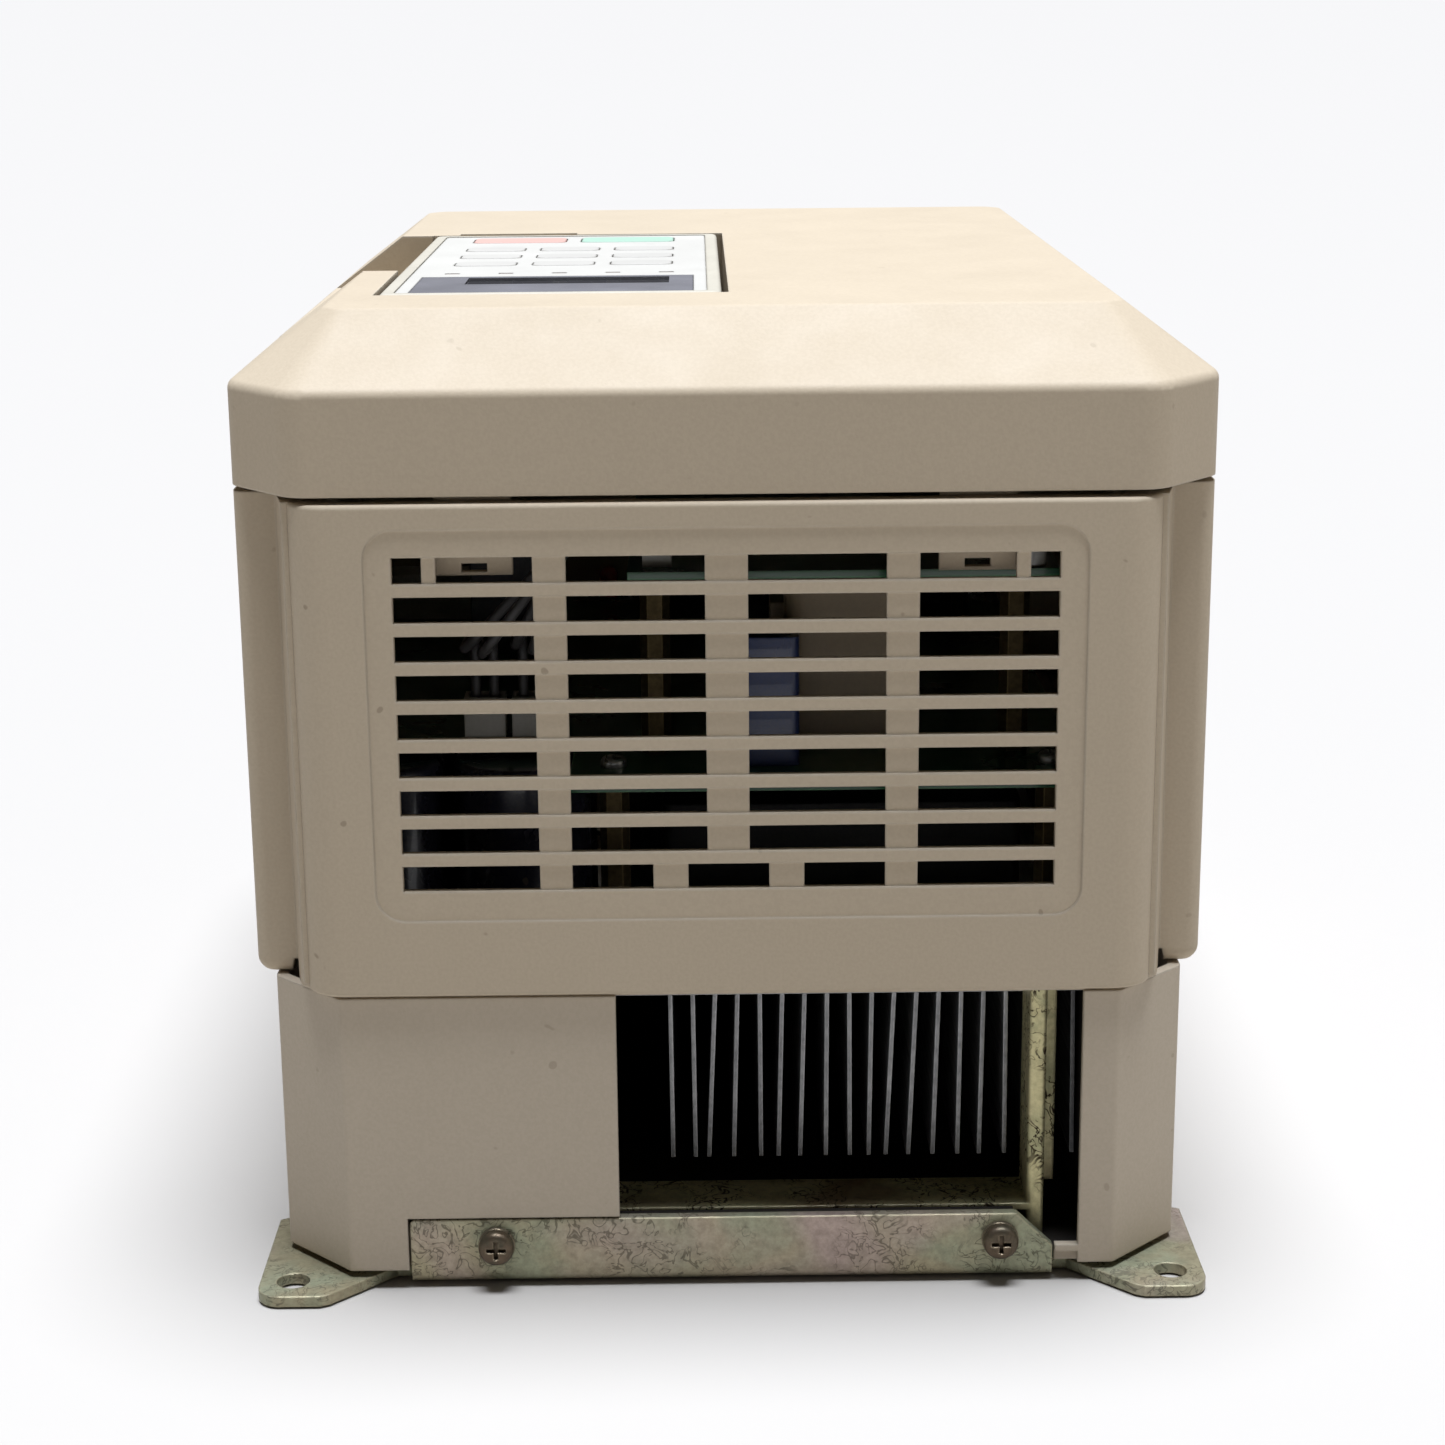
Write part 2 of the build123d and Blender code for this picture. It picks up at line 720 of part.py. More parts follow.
# ---------------------------------------------------------------- fans
fan_gap = 0.5
fan_offsets = (-(fan_size + fan_gap) / 2, (fan_size + fan_gap) / 2)
hub_radius = 11.0
blade_tip = fan_bore / 2 - 1.0
strut_depth = 3.0


def fan_plane(offset, y):
    """Plane across a fan's axis, facing out of the cable end."""
    return Plane((duct_centre + offset, y, fan_z), x_dir=(-1, 0, 0), z_dir=(0, 1, 0))


guard_thickness = 3.0
guard_low_z = fan_window_low + fit_gap
guard_high_z = fan_window_high - fit_gap
guard_radius = fan_bore / 2 - 2.5
guard_ring = 1.6
guard_rings = [guard_radius - step * 3.8 for step in (1, 2, 3)]

with BuildPart() as fan_guard:
    guard_face = base_half_y - guard_thickness
    span_box(
        (duct_left + 2 * fit_gap, duct_right - 2 * fit_gap),
        (guard_face, base_half_y),
        (guard_low_z, guard_high_z),
    )
    for offset in fan_offsets:
        with BuildSketch(fan_plane(offset, guard_face - 1)):
            Circle(guard_radius)
            for ring in guard_rings:
                with BuildSketch(mode=Mode.SUBTRACT):
                    Circle(ring + guard_ring / 2)
                    Circle(ring - guard_ring / 2, mode=Mode.SUBTRACT)
            Circle(guard_rings[-1] - 4, mode=Mode.SUBTRACT)
            for turn in (45, 135):
                Rectangle(2 * guard_radius + 2, 2, rotation=turn, mode=Mode.SUBTRACT)
        extrude(amount=guard_thickness + 2, mode=Mode.SUBTRACT)
        # stubs that stand on the fan's corners
        with BuildSketch(fan_plane(offset, fan_out)):
            with GridLocations(fan_size - 9, fan_size - 14, 2, 2):
                Circle(2.4)
        extrude(amount=guard_face - fan_out + 0.5)
fan_guard.part.label = "fan_guard"
export_step(fan_guard.part, "parts/fan_guard.step")

with BuildPart() as fan_frames:
    for offset in fan_offsets:
        with BuildSketch(fan_plane(offset, fan_in)):
            RectangleRounded(fan_size, fan_size, 3)
            Circle(fan_bore / 2, mode=Mode.SUBTRACT)
            with GridLocations(fan_size - 10, fan_size - 10, 2, 2):
                Circle(2.1, mode=Mode.SUBTRACT)
        extrude(amount=fan_depth)
        # motor seat on four struts, on the side of the fins
        with BuildSketch(fan_plane(offset, fan_in)):
            Circle(hub_radius)
            for turn in (20, 110):
                Rectangle(fan_bore + 1, 2.4, rotation=turn)
        extrude(amount=strut_depth)
        with BuildSketch(fan_plane(offset, fan_in + strut_depth)):
            Circle(4)
        extrude(amount=10)
        with BuildSketch(fan_plane(offset, fan_in + strut_depth)):
            Circle(shaft_radius + shaft_clearance)
        extrude(amount=11, mode=Mode.SUBTRACT)
fan_frames.part.label = "fan_frames"
export_step(fan_frames.part, "parts/fan_frames.step")


def fan_rotor(offset):
    """Fan wheel: cup over the motor, shaft, and pitched blades."""
    cup_start = fan_in + strut_depth + 0.8
    cup_length = fan_depth - strut_depth - 1.6
    axis_x = duct_centre + offset
    with BuildPart() as rotor:
        with BuildSketch(fan_plane(offset, cup_start)):
            Circle(hub_radius - 0.3)
        extrude(amount=cup_length)
        fillet(rotor.edges().group_by(Axis.Y)[-1], 1.5)
        with BuildSketch(fan_plane(offset, cup_start - 0.1)):
            Circle(hub_radius - 1.6)
        extrude(amount=cup_length - 1.7, mode=Mode.SUBTRACT)
        with BuildSketch(fan_plane(offset, cup_start - 0.1)):
            Circle(shaft_radius)
        extrude(amount=cup_length)
        for index in range(blade_count):
            turn = math.radians(360 / blade_count * index)
            outward = Vector(math.cos(turn), 0, math.sin(turn))
            root = Vector(axis_x, cup_start + cup_length / 2, fan_z) + outward * (hub_radius - 1.2)
            with BuildSketch(Plane(root, x_dir=(0, 1, 0), z_dir=outward)):
                Rectangle(15, 1.1, rotation=-33)
            extrude(amount=blade_tip - hub_radius + 1.2, taper=-4)
        with BuildSketch(fan_plane(offset, cup_start)):
            Circle(blade_tip)
        extrude(amount=cup_length, mode=Mode.INTERSECT)
    return rotor.part


with BuildPart() as fan_rotor_left:
    add(fan_rotor(fan_offsets[0]))
fan_rotor_left.part.label = "fan_rotor_left"
export_step(fan_rotor_left.part, "parts/fan_rotor_left.step")

with BuildPart() as fan_rotor_right:
    add(fan_rotor(fan_offsets[1]))
fan_rotor_right.part.label = "fan_rotor_right"
export_step(fan_rotor_right.part, "parts/fan_rotor_right.step")

# ---------------------------------------------------------------- cable entry plate
plate_thickness = 1.6
cable_hole_radius = 14.0
cable_hole_x = (-42.0, 0.0, 42.0)
cable_hole_z = (cable_window_low_z + cable_window_high_z) / 2

with BuildPart() as cable_entry_plate:
    with BuildSketch(Plane.XZ.offset(-case_end)):
        with Locations((0, cable_hole_z)):
            RectangleRounded(2 * cable_window_half + 12, cable_window_high_z - cable_window_low_z + 12, 3)
        with Locations(*[(x, cable_hole_z) for x in cable_hole_x]):
            Circle(cable_hole_radius, mode=Mode.SUBTRACT)
    extrude(amount=-plate_thickness)
cable_entry_plate.part.label = "cable_entry_plate"
export_step(cable_entry_plate.part, "parts/cable_entry_plate.step")

# ---------------------------------------------------------------- power parts
# semiconductor modules, bolted to the heat sink
with BuildPart() as rectifier_module:
    span_box((0, 56), (20, 62), (base_height, base_height + 20))
    fillet(rectifier_module.edges().filter_by(Axis.Z), 2)
rectifier_module.part.label = "rectifier_module"
export_step(rectifier_module.part, "parts/rectifier_module.step")

with BuildPart() as igbt_module:
    span_box((-14, 68), (-70, 0), (base_height, base_height + 20))
    fillet(igbt_module.edges().filter_by(Axis.Z), 2)
igbt_module.part.label = "igbt_module"
export_step(igbt_module.part, "parts/igbt_module.step")

# smoothing capacitors, standing beside the duct
capacitor_radius = 15.0
capacitor_places = [(x, y) for x in (-77.0, -45.0) for y in (-92.0, -58.0)]
capacitor_top = power_board_z - 1.5

with BuildPart() as dc_capacitors:
    pegs(capacitor_places, capacitor_radius, base_floor_z + wall, capacitor_top)
    fillet(dc_capacitors.edges().filter_by(GeomType.CIRCLE).group_by(Axis.Z)[-1], 1.5)
dc_capacitors.part.label = "dc_capacitors"
export_step(dc_capacitors.part, "parts/dc_capacitors.step")

# power board, cut away over the corner beside the duct
power_near = 14.0 - half_cover
power_far = shelf_near - 3.0
power_step_y = power_near + 36.0
power_left = 5.0 - half_width
power_right = half_width - 25.0
power_step_x = -33.0
post_places = [(x, y) for x in (-24.0, power_right - 6) for y in (power_near + 15, power_far - 8)]

with BuildPart() as power_board:
    with BuildSketch(Plane.XY.offset(power_board_z)):
        with BuildLine():
            Polyline(
                (power_step_x, power_near),
                (power_right, power_near),
                (power_right, power_far),
                (power_left, power_far),
                (power_left, power_step_y),
                (power_step_x, power_step_y),
                close=True,
            )
        make_face()
        with Locations(*post_places):
            Circle(1.8, mode=Mode.SUBTRACT)
    extrude(amount=board)
power_board.part.label = "power_board"
export_step(power_board.part, "parts/power_board.step")

# control board
control_near = 11.8 - half_cover
control_far = 40.0
control_left = -20.0
control_right = 68.0
control_post_x = (control_left + 5, control_right - 6)
control_post_y = (control_near + 28, control_far - 8)
control_posts = [(x, y) for x in control_post_x for y in control_post_y]
control_low_z = control_board_z - board

with BuildPart() as control_board:
    with BuildSketch(Plane.XY.offset(control_low_z)):
        with Locations(((control_left + control_right) / 2, (control_near + control_far) / 2)):
            Rectangle(control_right - control_left, control_far - control_near)
        with Locations(*control_posts):
            Circle(1.8, mode=Mode.SUBTRACT)
    extrude(amount=board)
control_board.part.label = "control_board"
export_step(control_board.part, "parts/control_board.step")

# brass posts under both boards, and the screws on them
post_radius = 3.2
with BuildPart() as board_posts:
    for x, y in post_places:
        with BuildSketch(Plane((x, y, base_height))):
            RegularPolygon(post_radius, 6)
            Circle(1.6, mode=Mode.SUBTRACT)
        extrude(amount=power_board_z - base_height)
    for x, y in control_posts:
        with BuildSketch(Plane((x, y, power_board_z + board))):
            RegularPolygon(post_radius, 6)
            Circle(1.6, mode=Mode.SUBTRACT)
        extrude(amount=control_low_z - power_board_z - board)
board_posts.part.label = "board_posts"
export_step(board_posts.part, "parts/board_posts.step")

with BuildPart() as board_screws:
    for x, y in post_places:
        add(cross_screw(Plane((x, y, power_board_z + board)), 1.5, 6, 2.8, 2.0, 1.0))
    for x, y in control_posts:
        add(cross_screw(Plane((x, y, control_board_z)), 1.5, 6, 2.8, 2.0, 1.0))
board_screws.part.label = "board_screws"
export_step(board_screws.part, "parts/board_screws.step")

# ---------------------------------------------------------------- parts on the power board
power_top = power_board_z + board

with BuildPart() as charge_relay:
    span_box((-62, -40), (-8, 20), (power_top, power_top + 26))
    fillet(charge_relay.edges().group_by(Axis.Z)[-1], 1)
charge_relay.part.label = "charge_relay"
export_step(charge_relay.part, "parts/charge_relay.step")

with BuildPart() as precharge_resistor:
    span_box((-90, -48), (30, 42), (power_top, power_top + 12))
precharge_resistor.part.label = "precharge_resistor"
export_step(precharge_resistor.part, "parts/precharge_resistor.step")

with BuildPart() as current_sensors:
    for x in (-6.0, 22.0, 50.0):
        with BuildSketch(Plane((x, 50, power_top))):
            RectangleRounded(20, 12, 1.5)
            Circle(3.5, mode=Mode.SUBTRACT)
        extrude(amount=14)
current_sensors.part.label = "current_sensors"
export_step(current_sensors.part, "parts/current_sensors.step")

with BuildPart() as supply_transformer:
    with BuildSketch(Plane.XY.offset(power_top)):
        with Locations((26, power_near + 44)):
            RectangleRounded(26, 24, 4)
    extrude(amount=34)
    with BuildSketch(Plane.XY.offset(power_top)):
        with Locations((26, power_near + 44)):
            Rectangle(32, 12)
    extrude(amount=30)
supply_transformer.part.label = "supply_transformer"
export_step(supply_transformer.part, "parts/supply_transformer.step")

with BuildPart() as film_capacitor:
    span_box((2.5, 15.5), (power_near + 13, power_near + 30), (power_top, power_top + 28))
    fillet(film_capacitor.edges().filter_by(Axis.Z), 2)
film_capacitor.part.label = "film_capacitor"
export_step(film_capacitor.part, "parts/film_capacitor.step")

header_places = [(-53.0, 9), (-42.5, 9)]
with BuildPart() as wire_headers:
    for x, width in header_places:
        with BuildSketch(Plane((x, power_step_y + 6, power_top))):
            Rectangle(width, 7)
        extrude(amount=9)
        with BuildSketch(Plane((x, power_step_y + 6, power_top + 9))):
            Rectangle(width - 2, 4)
        extrude(amount=-7, mode=Mode.SUBTRACT)
    span_box(
        (control_left + 3, control_left + 9),
        (control_near + 5, control_near + 19.5),
        (control_board_z, control_board_z + 8),
    )
wire_headers.part.label = "wire_headers"
export_step(wire_headers.part, "parts/wire_headers.step")

with BuildPart() as charge_lamp:
    pegs([(-30, power_far - 8)], 2.5, power_top, power_top + 6)
    with Locations((-30, power_far - 8, power_top + 6)):
        Sphere(2.5)
charge_lamp.part.label = "charge_lamp"
export_step(charge_lamp.part, "parts/charge_lamp.step")

# ---------------------------------------------------------------- parts on the control board
with BuildPart() as control_chips:
    for x, y, width, length in ((10, -60, 28, 28), (46, -64, 16, 22), (44, -30, 14, 20), (46, 6, 18, 10)):
        with BuildSketch(Plane((x, y, control_board_z))):
            Rectangle(width, length)
        extrude(amount=3)
control_chips.part.label = "control_chips"
export_step(control_chips.part, "parts/control_chips.step")

socket_top = pocket_floor_z - floor_thickness - 1.5
with BuildPart() as operator_socket:
    with BuildSketch(Plane((plug_x + 18, plug_y, control_board_z))):
        Rectangle(22, 14)
    extrude(amount=8)
    with BuildSketch(Plane((plug_x, plug_y, socket_top - 16))):
        Rectangle(plug_width + 8, plug_length + 8)
    extrude(amount=16)
    with BuildSketch(Plane((plug_x + 13, plug_y, control_board_z))):
        Rectangle(8, 14)
    extrude(amount=socket_top - control_board_z)
    with BuildSketch(Plane((plug_x, plug_y, socket_top))):
        Rectangle(plug_width + 4, plug_length + 4)
    extrude(amount=-6, mode=Mode.SUBTRACT)
operator_socket.part.label = "operator_socket"
export_step(operator_socket.part, "parts/operator_socket.step")

status_lamp_x = 63.0
with BuildPart() as board_lamp:
    pegs([(status_lamp_x, control_near + 4)], 2.5, control_board_z, control_board_z + 5)
    with Locations((status_lamp_x, control_near + 4, control_board_z + 5)):
        Sphere(2.5)
board_lamp.part.label = "board_lamp"
export_step(board_lamp.part, "parts/board_lamp.step")

control_terminal_count = 13
control_terminal_pitch = 5.08
control_row_x = 24.0  # middle of the row
control_row = control_terminal_count * control_terminal_pitch
first_terminal_x = control_row_x - (control_row - control_terminal_pitch) / 2
control_terminal_x = [first_terminal_x + i * control_terminal_pitch for i in range(control_terminal_count)]
control_terminal_y = control_far - 6.0

with BuildPart() as control_terminals:
    span_box(
        (control_row_x - control_row / 2, control_row_x + control_row / 2),
        (control_terminal_y - 18, control_terminal_y - 8),
        (control_board_z, control_board_z + 10),
    )
    for x in control_terminal_x:
        pegs([(x, control_terminal_y - 13)], 2.1, control_board_z + 4, control_board_z + 11, Mode.SUBTRACT)
control_terminals.part.label = "control_terminals"
export_step(control_terminals.part, "parts/control_terminals.step")

with BuildPart() as control_terminal_screws:
    for x in control_terminal_x:
        with BuildSketch(Plane((x, control_terminal_y - 13, control_board_z + 4))):
            Circle(1.9)
        extrude(amount=4)
        with BuildSketch(Plane((x, control_terminal_y - 13, control_board_z + 8))):
            Rectangle(4, 0.6, rotation=20)
        extrude(amount=-0.8, mode=Mode.SUBTRACT)
control_terminal_screws.part.label = "control_terminal_screws"
export_step(control_terminal_screws.part, "parts/control_terminal_screws.step")

# ---------------------------------------------------------------- main terminals
terminal_count = 11
terminal_pitch = 15.0
terminal_height = 22.0
terminal_y = (shelf_near + shelf_far) / 2
terminal_x = [(i - (terminal_count - 1) / 2) * terminal_pitch for i in range(terminal_count)]
terminal_low_z = shelf_z + shelf_thickness

with BuildPart() as main_terminals:
    half_row = terminal_count * terminal_pitch / 2 + 1
    span_box(
        (-half_row, half_row),
        (terminal_y - 13, terminal_y + 13),
        (terminal_low_z, terminal_low_z + terminal_height),
    )
    for x in terminal_x:
        span_box(
            (x - terminal_pitch / 2 + 1, x + terminal_pitch / 2 - 1),
            (terminal_y - 6, terminal_y + 14),
            (terminal_low_z + 11, terminal_low_z + terminal_height + 1),
            mode=Mode.SUBTRACT,
        )
main_terminals.part.label = "main_terminals"
export_step(main_terminals.part, "parts/main_terminals.step")

with BuildPart() as main_terminal_screws:
    for x in terminal_x:
        add(cross_screw(Plane((x, terminal_y + 3, terminal_low_z + 11)), 0, 0, 4.4, 3.2, 1.6))
main_terminal_screws.part.label = "main_terminal_screws"
export_step(main_terminal_screws.part, "parts/main_terminal_screws.step")

# ---------------------------------------------------------------- wires inside the top end
wire_radius = 1.1
wire_start_x = control_left + 3.0


def wire(points, radii):
    """Round wire along straight runs joined by arcs."""
    with BuildPart() as lead:
        with BuildLine():
            FilletPolyline(*points, radius=radii)
        with BuildSketch(Plane(points[0], z_dir=Vector(*points[1]) - Vector(*points[0]))):
            Circle(wire_radius)
        sweep()
    return lead.part


with BuildPart() as wire_harness:
    for index in range(4):
        shift = index * (2 * wire_radius + 0.5)
        header_x = header_places[index % 2][0] + (2 if index < 2 else -2)
        add(
            wire(
                [
                    (wire_start_x, control_near + 8 + shift, control_board_z + 4),
                    (wire_start_x - 16, control_near + 8 + shift, control_board_z + 4),
                    (header_x, control_near + 8 + shift, power_top + 26),
                    (header_x, power_step_y + 6, power_top + 24),
                    (header_x, power_step_y + 6, power_top + 4),
                ],
                [6, 6, 6],
            )
        )
wire_harness.part.label = "wire_harness"
export_step(wire_harness.part, "parts/wire_harness.step")

# ---------------------------------------------------------------- keypad
keypad_low_z = overall_height - keypad_thickness
keypad_left = keypad_x - keypad_width / 2
keypad_right = keypad_x + keypad_width / 2
keypad_near = keypad_y - keypad_length / 2
frame_inset = 3.0  # case rim around the overlay
cavity_inset = 4.5
overlay_top = overall_height - 0.2
overlay_low = overall_height - 1.0
keypad_board_z = overall_height - 5.0
latch_thickness = 1.5
latch_length = 30.0
latch_height = 10.0
latch_z = keypad_low_z + 9.5


def keypad_plan(inset, radius, z):
    """Plan of the keypad on a level plane, moved in by inset."""
    with BuildSketch(Plane((keypad_x, keypad_y, z))) as plan:
        RectangleRounded(keypad_width - 2 * inset, keypad_length - 2 * inset, radius)
    return plan.sketch


with BuildPart() as keypad_case:
    add(keypad_plan(0, 2.5, keypad_low_z))
    extrude(amount=keypad_thickness)
    fillet(keypad_case.edges().group_by(Axis.Z)[-1], 1.0)
    add(keypad_plan(frame_inset, 1.5, overlay_low))
    extrude(amount=2, mode=Mode.SUBTRACT)
    add(keypad_plan(cavity_inset, 1.0, keypad_low_z + 2))
    extrude(amount=keypad_thickness, mode=Mode.SUBTRACT)
    # posts under the keypad's board
    with BuildSketch(Plane((keypad_x, keypad_y, keypad_low_z + 1))):
        with GridLocations(keypad_width - 2 * cavity_inset - 8, keypad_length - 2 * cavity_inset - 8, 2, 2):
            Circle(3)
    extrude(amount=keypad_board_z - keypad_low_z - 1)
    # recess for the latch
    span_box(
        (keypad_left - 1, keypad_left + latch_thickness + latch_travel + fit_gap),
        (notch_y - latch_length / 2 - fit_gap, notch_y + latch_length / 2 + fit_gap),
        (latch_z - latch_height / 2 - fit_gap, latch_z + latch_height / 2 + fit_gap),
        mode=Mode.SUBTRACT,
    )
keypad_case.part.label = "keypad_case"
export_step(keypad_case.part, "parts/keypad_case.step")

with BuildPart() as keypad_latch:
    span_box(
        (keypad_left, keypad_left + latch_thickness),
        (notch_y - latch_length / 2, notch_y + latch_length / 2),
        (latch_z - latch_height / 2, latch_z + latch_height / 2),
    )
    for step in range(-4, 5):
        span_box(
            (keypad_left - 1, keypad_left + 0.4),
            (notch_y + step * 3 - 0.6, notch_y + step * 3 + 0.6),
            (latch_z - latch_height / 2 + 1, latch_z + latch_height / 2 - 1),
            mode=Mode.SUBTRACT,
        )
keypad_latch.part.label = "keypad_latch"
export_step(keypad_latch.part, "parts/keypad_latch.step")

with BuildPart() as keypad_plug:
    span_box(
        (plug_x - plug_width / 2, plug_x + plug_width / 2),
        (plug_y - plug_length / 2, plug_y + plug_length / 2),
        (keypad_low_z - 8, keypad_low_z),
    )
    fillet(keypad_plug.edges().filter_by(Axis.Z), 1.5)
    fillet(keypad_plug.edges().group_by(Axis.Z)[0], 0.6)
keypad_plug.part.label = "keypad_plug"
export_step(keypad_plug.part, "parts/keypad_plug.step")

with BuildPart() as keypad_board:
    add(keypad_plan(cavity_inset + 0.5, 1.0, keypad_board_z))
    extrude(amount=board)
keypad_board.part.label = "keypad_board"
export_step(keypad_board.part, "parts/keypad_board.step")

# display and lamps
display_near = keypad_near + 3.5
display_far = display_near + 34.0
lamp_y = display_far + 7.0
lamp_x = [keypad_x + step * 12 for step in range(-2, 3)]
board_face = keypad_board_z + board

with BuildPart() as keypad_display:
    span_box(
        (keypad_left + 10, keypad_right - 10),
        (display_near + 6, display_far - 4),
        (board_face, board_face + 1.8),
    )
    fillet(keypad_display.edges().filter_by(Axis.Z), 1.0)
keypad_display.part.label = "keypad_display"
export_step(keypad_display.part, "parts/keypad_display.step")

with BuildPart() as display_lens:
    span_box((keypad_left + 6, keypad_right - 6), (display_near, display_far), (overlay_low, overlay_top))
    fillet(display_lens.edges().filter_by(Axis.Z), 1.0)
display_lens.part.label = "display_lens"
export_step(display_lens.part, "parts/display_lens.step")

with BuildPart() as keypad_lamps:
    for x in lamp_x:
        span_box((x - 1.5, x + 1.5), (lamp_y - 1, lamp_y + 1), (board_face, overlay_top - 0.1))
keypad_lamps.part.label = "keypad_lamps"
export_step(keypad_lamps.part, "parts/keypad_lamps.step")

# keys: name, centre, width, length
key_rows = (keypad_y - 4.0, keypad_y + 14.0, keypad_y + 32.0)
key_columns = (keypad_x - 18.0, keypad_x, keypad_x + 18.0)
key_width = 14.0
key_length = 9.0
wide_key_width = 23.0
wide_key_length = 12.0
wide_key_y = keypad_y + 56.0
key_names = (
    ("key_local", "key_menu", "key_escape"),
    ("key_jog", "key_up", "key_enter"),
    ("key_direction", "key_down", "key_shift"),
)
keys = [
    (key_names[row][column], key_columns[column], key_rows[row], key_width, key_length)
    for row in range(3)
    for column in range(3)
]
keys.append(("key_stop", keypad_x - 13.5, wide_key_y, wide_key_width, wide_key_length))
keys.append(("key_run", keypad_x + 13.5, wide_key_y, wide_key_width, wide_key_length))

with BuildPart() as keypad_overlay:
    add(keypad_plan(frame_inset + 0.15, 1.4, overlay_low))
    extrude(amount=overlay_top - overlay_low)
    span_box(
        (keypad_left + 6 - slip, keypad_right - 6 + slip),
        (display_near - slip, display_far + slip),
        (overlay_low - 1, overlay_top + 1),
        mode=Mode.SUBTRACT,
    )
    for x in lamp_x:
        span_box(
            (x - 1.5 - slip, x + 1.5 + slip),
            (lamp_y - 1 - slip, lamp_y + 1 + slip),
            (overlay_low - 1, overlay_top + 1),
            mode=Mode.SUBTRACT,
        )
    for name, x, y, width, length in keys:
        with BuildSketch(Plane((x, y, overlay_low))):
            RectangleRounded(width + 2 * fit_gap, length + 2 * fit_gap, 2 + fit_gap)
        extrude(amount=overlay_top - overlay_low, mode=Mode.SUBTRACT)
keypad_overlay.part.label = "keypad_overlay"
export_step(keypad_overlay.part, "parts/keypad_overlay.step")

for name, x, y, width, length in keys:
    with BuildPart() as key:
        with BuildSketch(Plane((x, y, board_face + key_travel + 0.4))):
            RectangleRounded(width + 2, length + 2, 3)
        extrude(amount=overlay_low - slip - board_face - key_travel - 0.4)
        with BuildSketch(Plane((x, y, overlay_low - 1))):
            RectangleRounded(width, length, 2)
        extrude(amount=overall_height - overlay_low + 1)
        fillet(key.edges().group_by(Axis.Z)[-1], 0.35)
    key.part.label = name
    export_step(key.part, f"parts/{name}.step")
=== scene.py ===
import math

import bpy
from mathutils import Matrix, Vector


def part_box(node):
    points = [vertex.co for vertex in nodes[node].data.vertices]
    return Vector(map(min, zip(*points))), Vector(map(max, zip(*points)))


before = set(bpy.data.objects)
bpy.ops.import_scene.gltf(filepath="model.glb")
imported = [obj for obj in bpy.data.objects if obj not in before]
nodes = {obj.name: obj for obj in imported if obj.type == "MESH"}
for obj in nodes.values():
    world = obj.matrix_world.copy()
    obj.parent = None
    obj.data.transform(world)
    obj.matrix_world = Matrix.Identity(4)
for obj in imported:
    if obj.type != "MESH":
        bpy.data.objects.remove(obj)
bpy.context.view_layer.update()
scene = bpy.context.scene
print("frame loaded:", len(nodes), "nodes")


def addNode(tree, kind, **settings):
    node = tree.nodes.new(kind)
    for key, value in settings.items():
        if key in node.inputs:
            node.inputs[key].default_value = value
        else:
            setattr(node, key, value)
    return node


def connect(tree, value, socket):  # a socket is linked, anything else is set as the value
    if isinstance(value, bpy.types.NodeSocket):
        tree.links.new(value, socket)
    else:
        socket.default_value = value


def newGroup(name, inputs):
    group = bpy.data.node_groups.new(name, "ShaderNodeTree")
    for label, kind, value in inputs:
        socket = group.interface.new_socket(name=label, in_out="INPUT", socket_type="NodeSocket" + kind)
        socket.default_value = value
    for label, kind in (("Colour", "Color"), ("Roughness", "Float"), ("Normal", "Vector")):
        group.interface.new_socket(name=label, in_out="OUTPUT", socket_type="NodeSocket" + kind)
    return group, group.nodes.new("NodeGroupInput").outputs, group.nodes.new("NodeGroupOutput").inputs


def objectPlace(tree):
    return addNode(tree, "ShaderNodeTexCoord").outputs["Object"]


def splitAxes(tree, vector):
    split = addNode(tree, "ShaderNodeSeparateXYZ")
    tree.links.new(vector, split.inputs["Vector"])
    return split.outputs


def noise(tree, place, scale, detail=2.0, roughness=0.55, distortion=0.0):
    node = addNode(tree, "ShaderNodeTexNoise", Detail=detail, Roughness=roughness, Distortion=distortion)
    connect(tree, scale, node.inputs["Scale"])
    tree.links.new(place, node.inputs["Vector"])
    return node.outputs["Fac"]


def remap(tree, value, low, high, outLow=0.0, outHigh=1.0):
    node = tree.nodes.new("ShaderNodeMapRange")
    for label, number in (("From Min", low), ("From Max", high), ("To Min", outLow), ("To Max", outHigh)):
        node.inputs[label].default_value = number
    tree.links.new(value, node.inputs["Value"])
    return node.outputs["Result"]


def calculate(tree, operation, first, second=0.0, clamp=False):
    node = addNode(tree, "ShaderNodeMath", operation=operation, use_clamp=clamp)
    connect(tree, first, node.inputs[0])
    connect(tree, second, node.inputs[1])
    return node.outputs["Value"]


def multiply(tree, *factors):
    product = factors[0]
    for factor in factors[1:]:
        product = calculate(tree, "MULTIPLY", product, factor)
    return product


def blendColour(tree, factor, under, over):
    node = tree.nodes.new("ShaderNodeMix")
    node.data_type = "RGBA"
    for label, value in (("Factor", factor), ("A", under), ("B", over)):
        socket = [entry for entry in node.inputs if entry.name == label and entry.enabled][0]
        connect(tree, value, socket)
    return [result for result in node.outputs if result.enabled][0]


edgeBlend = {"samples": 4, "flat": 0.995, "rounded": 0.88}  # cosines of the normal's turn
bumpDepth = 0.0002


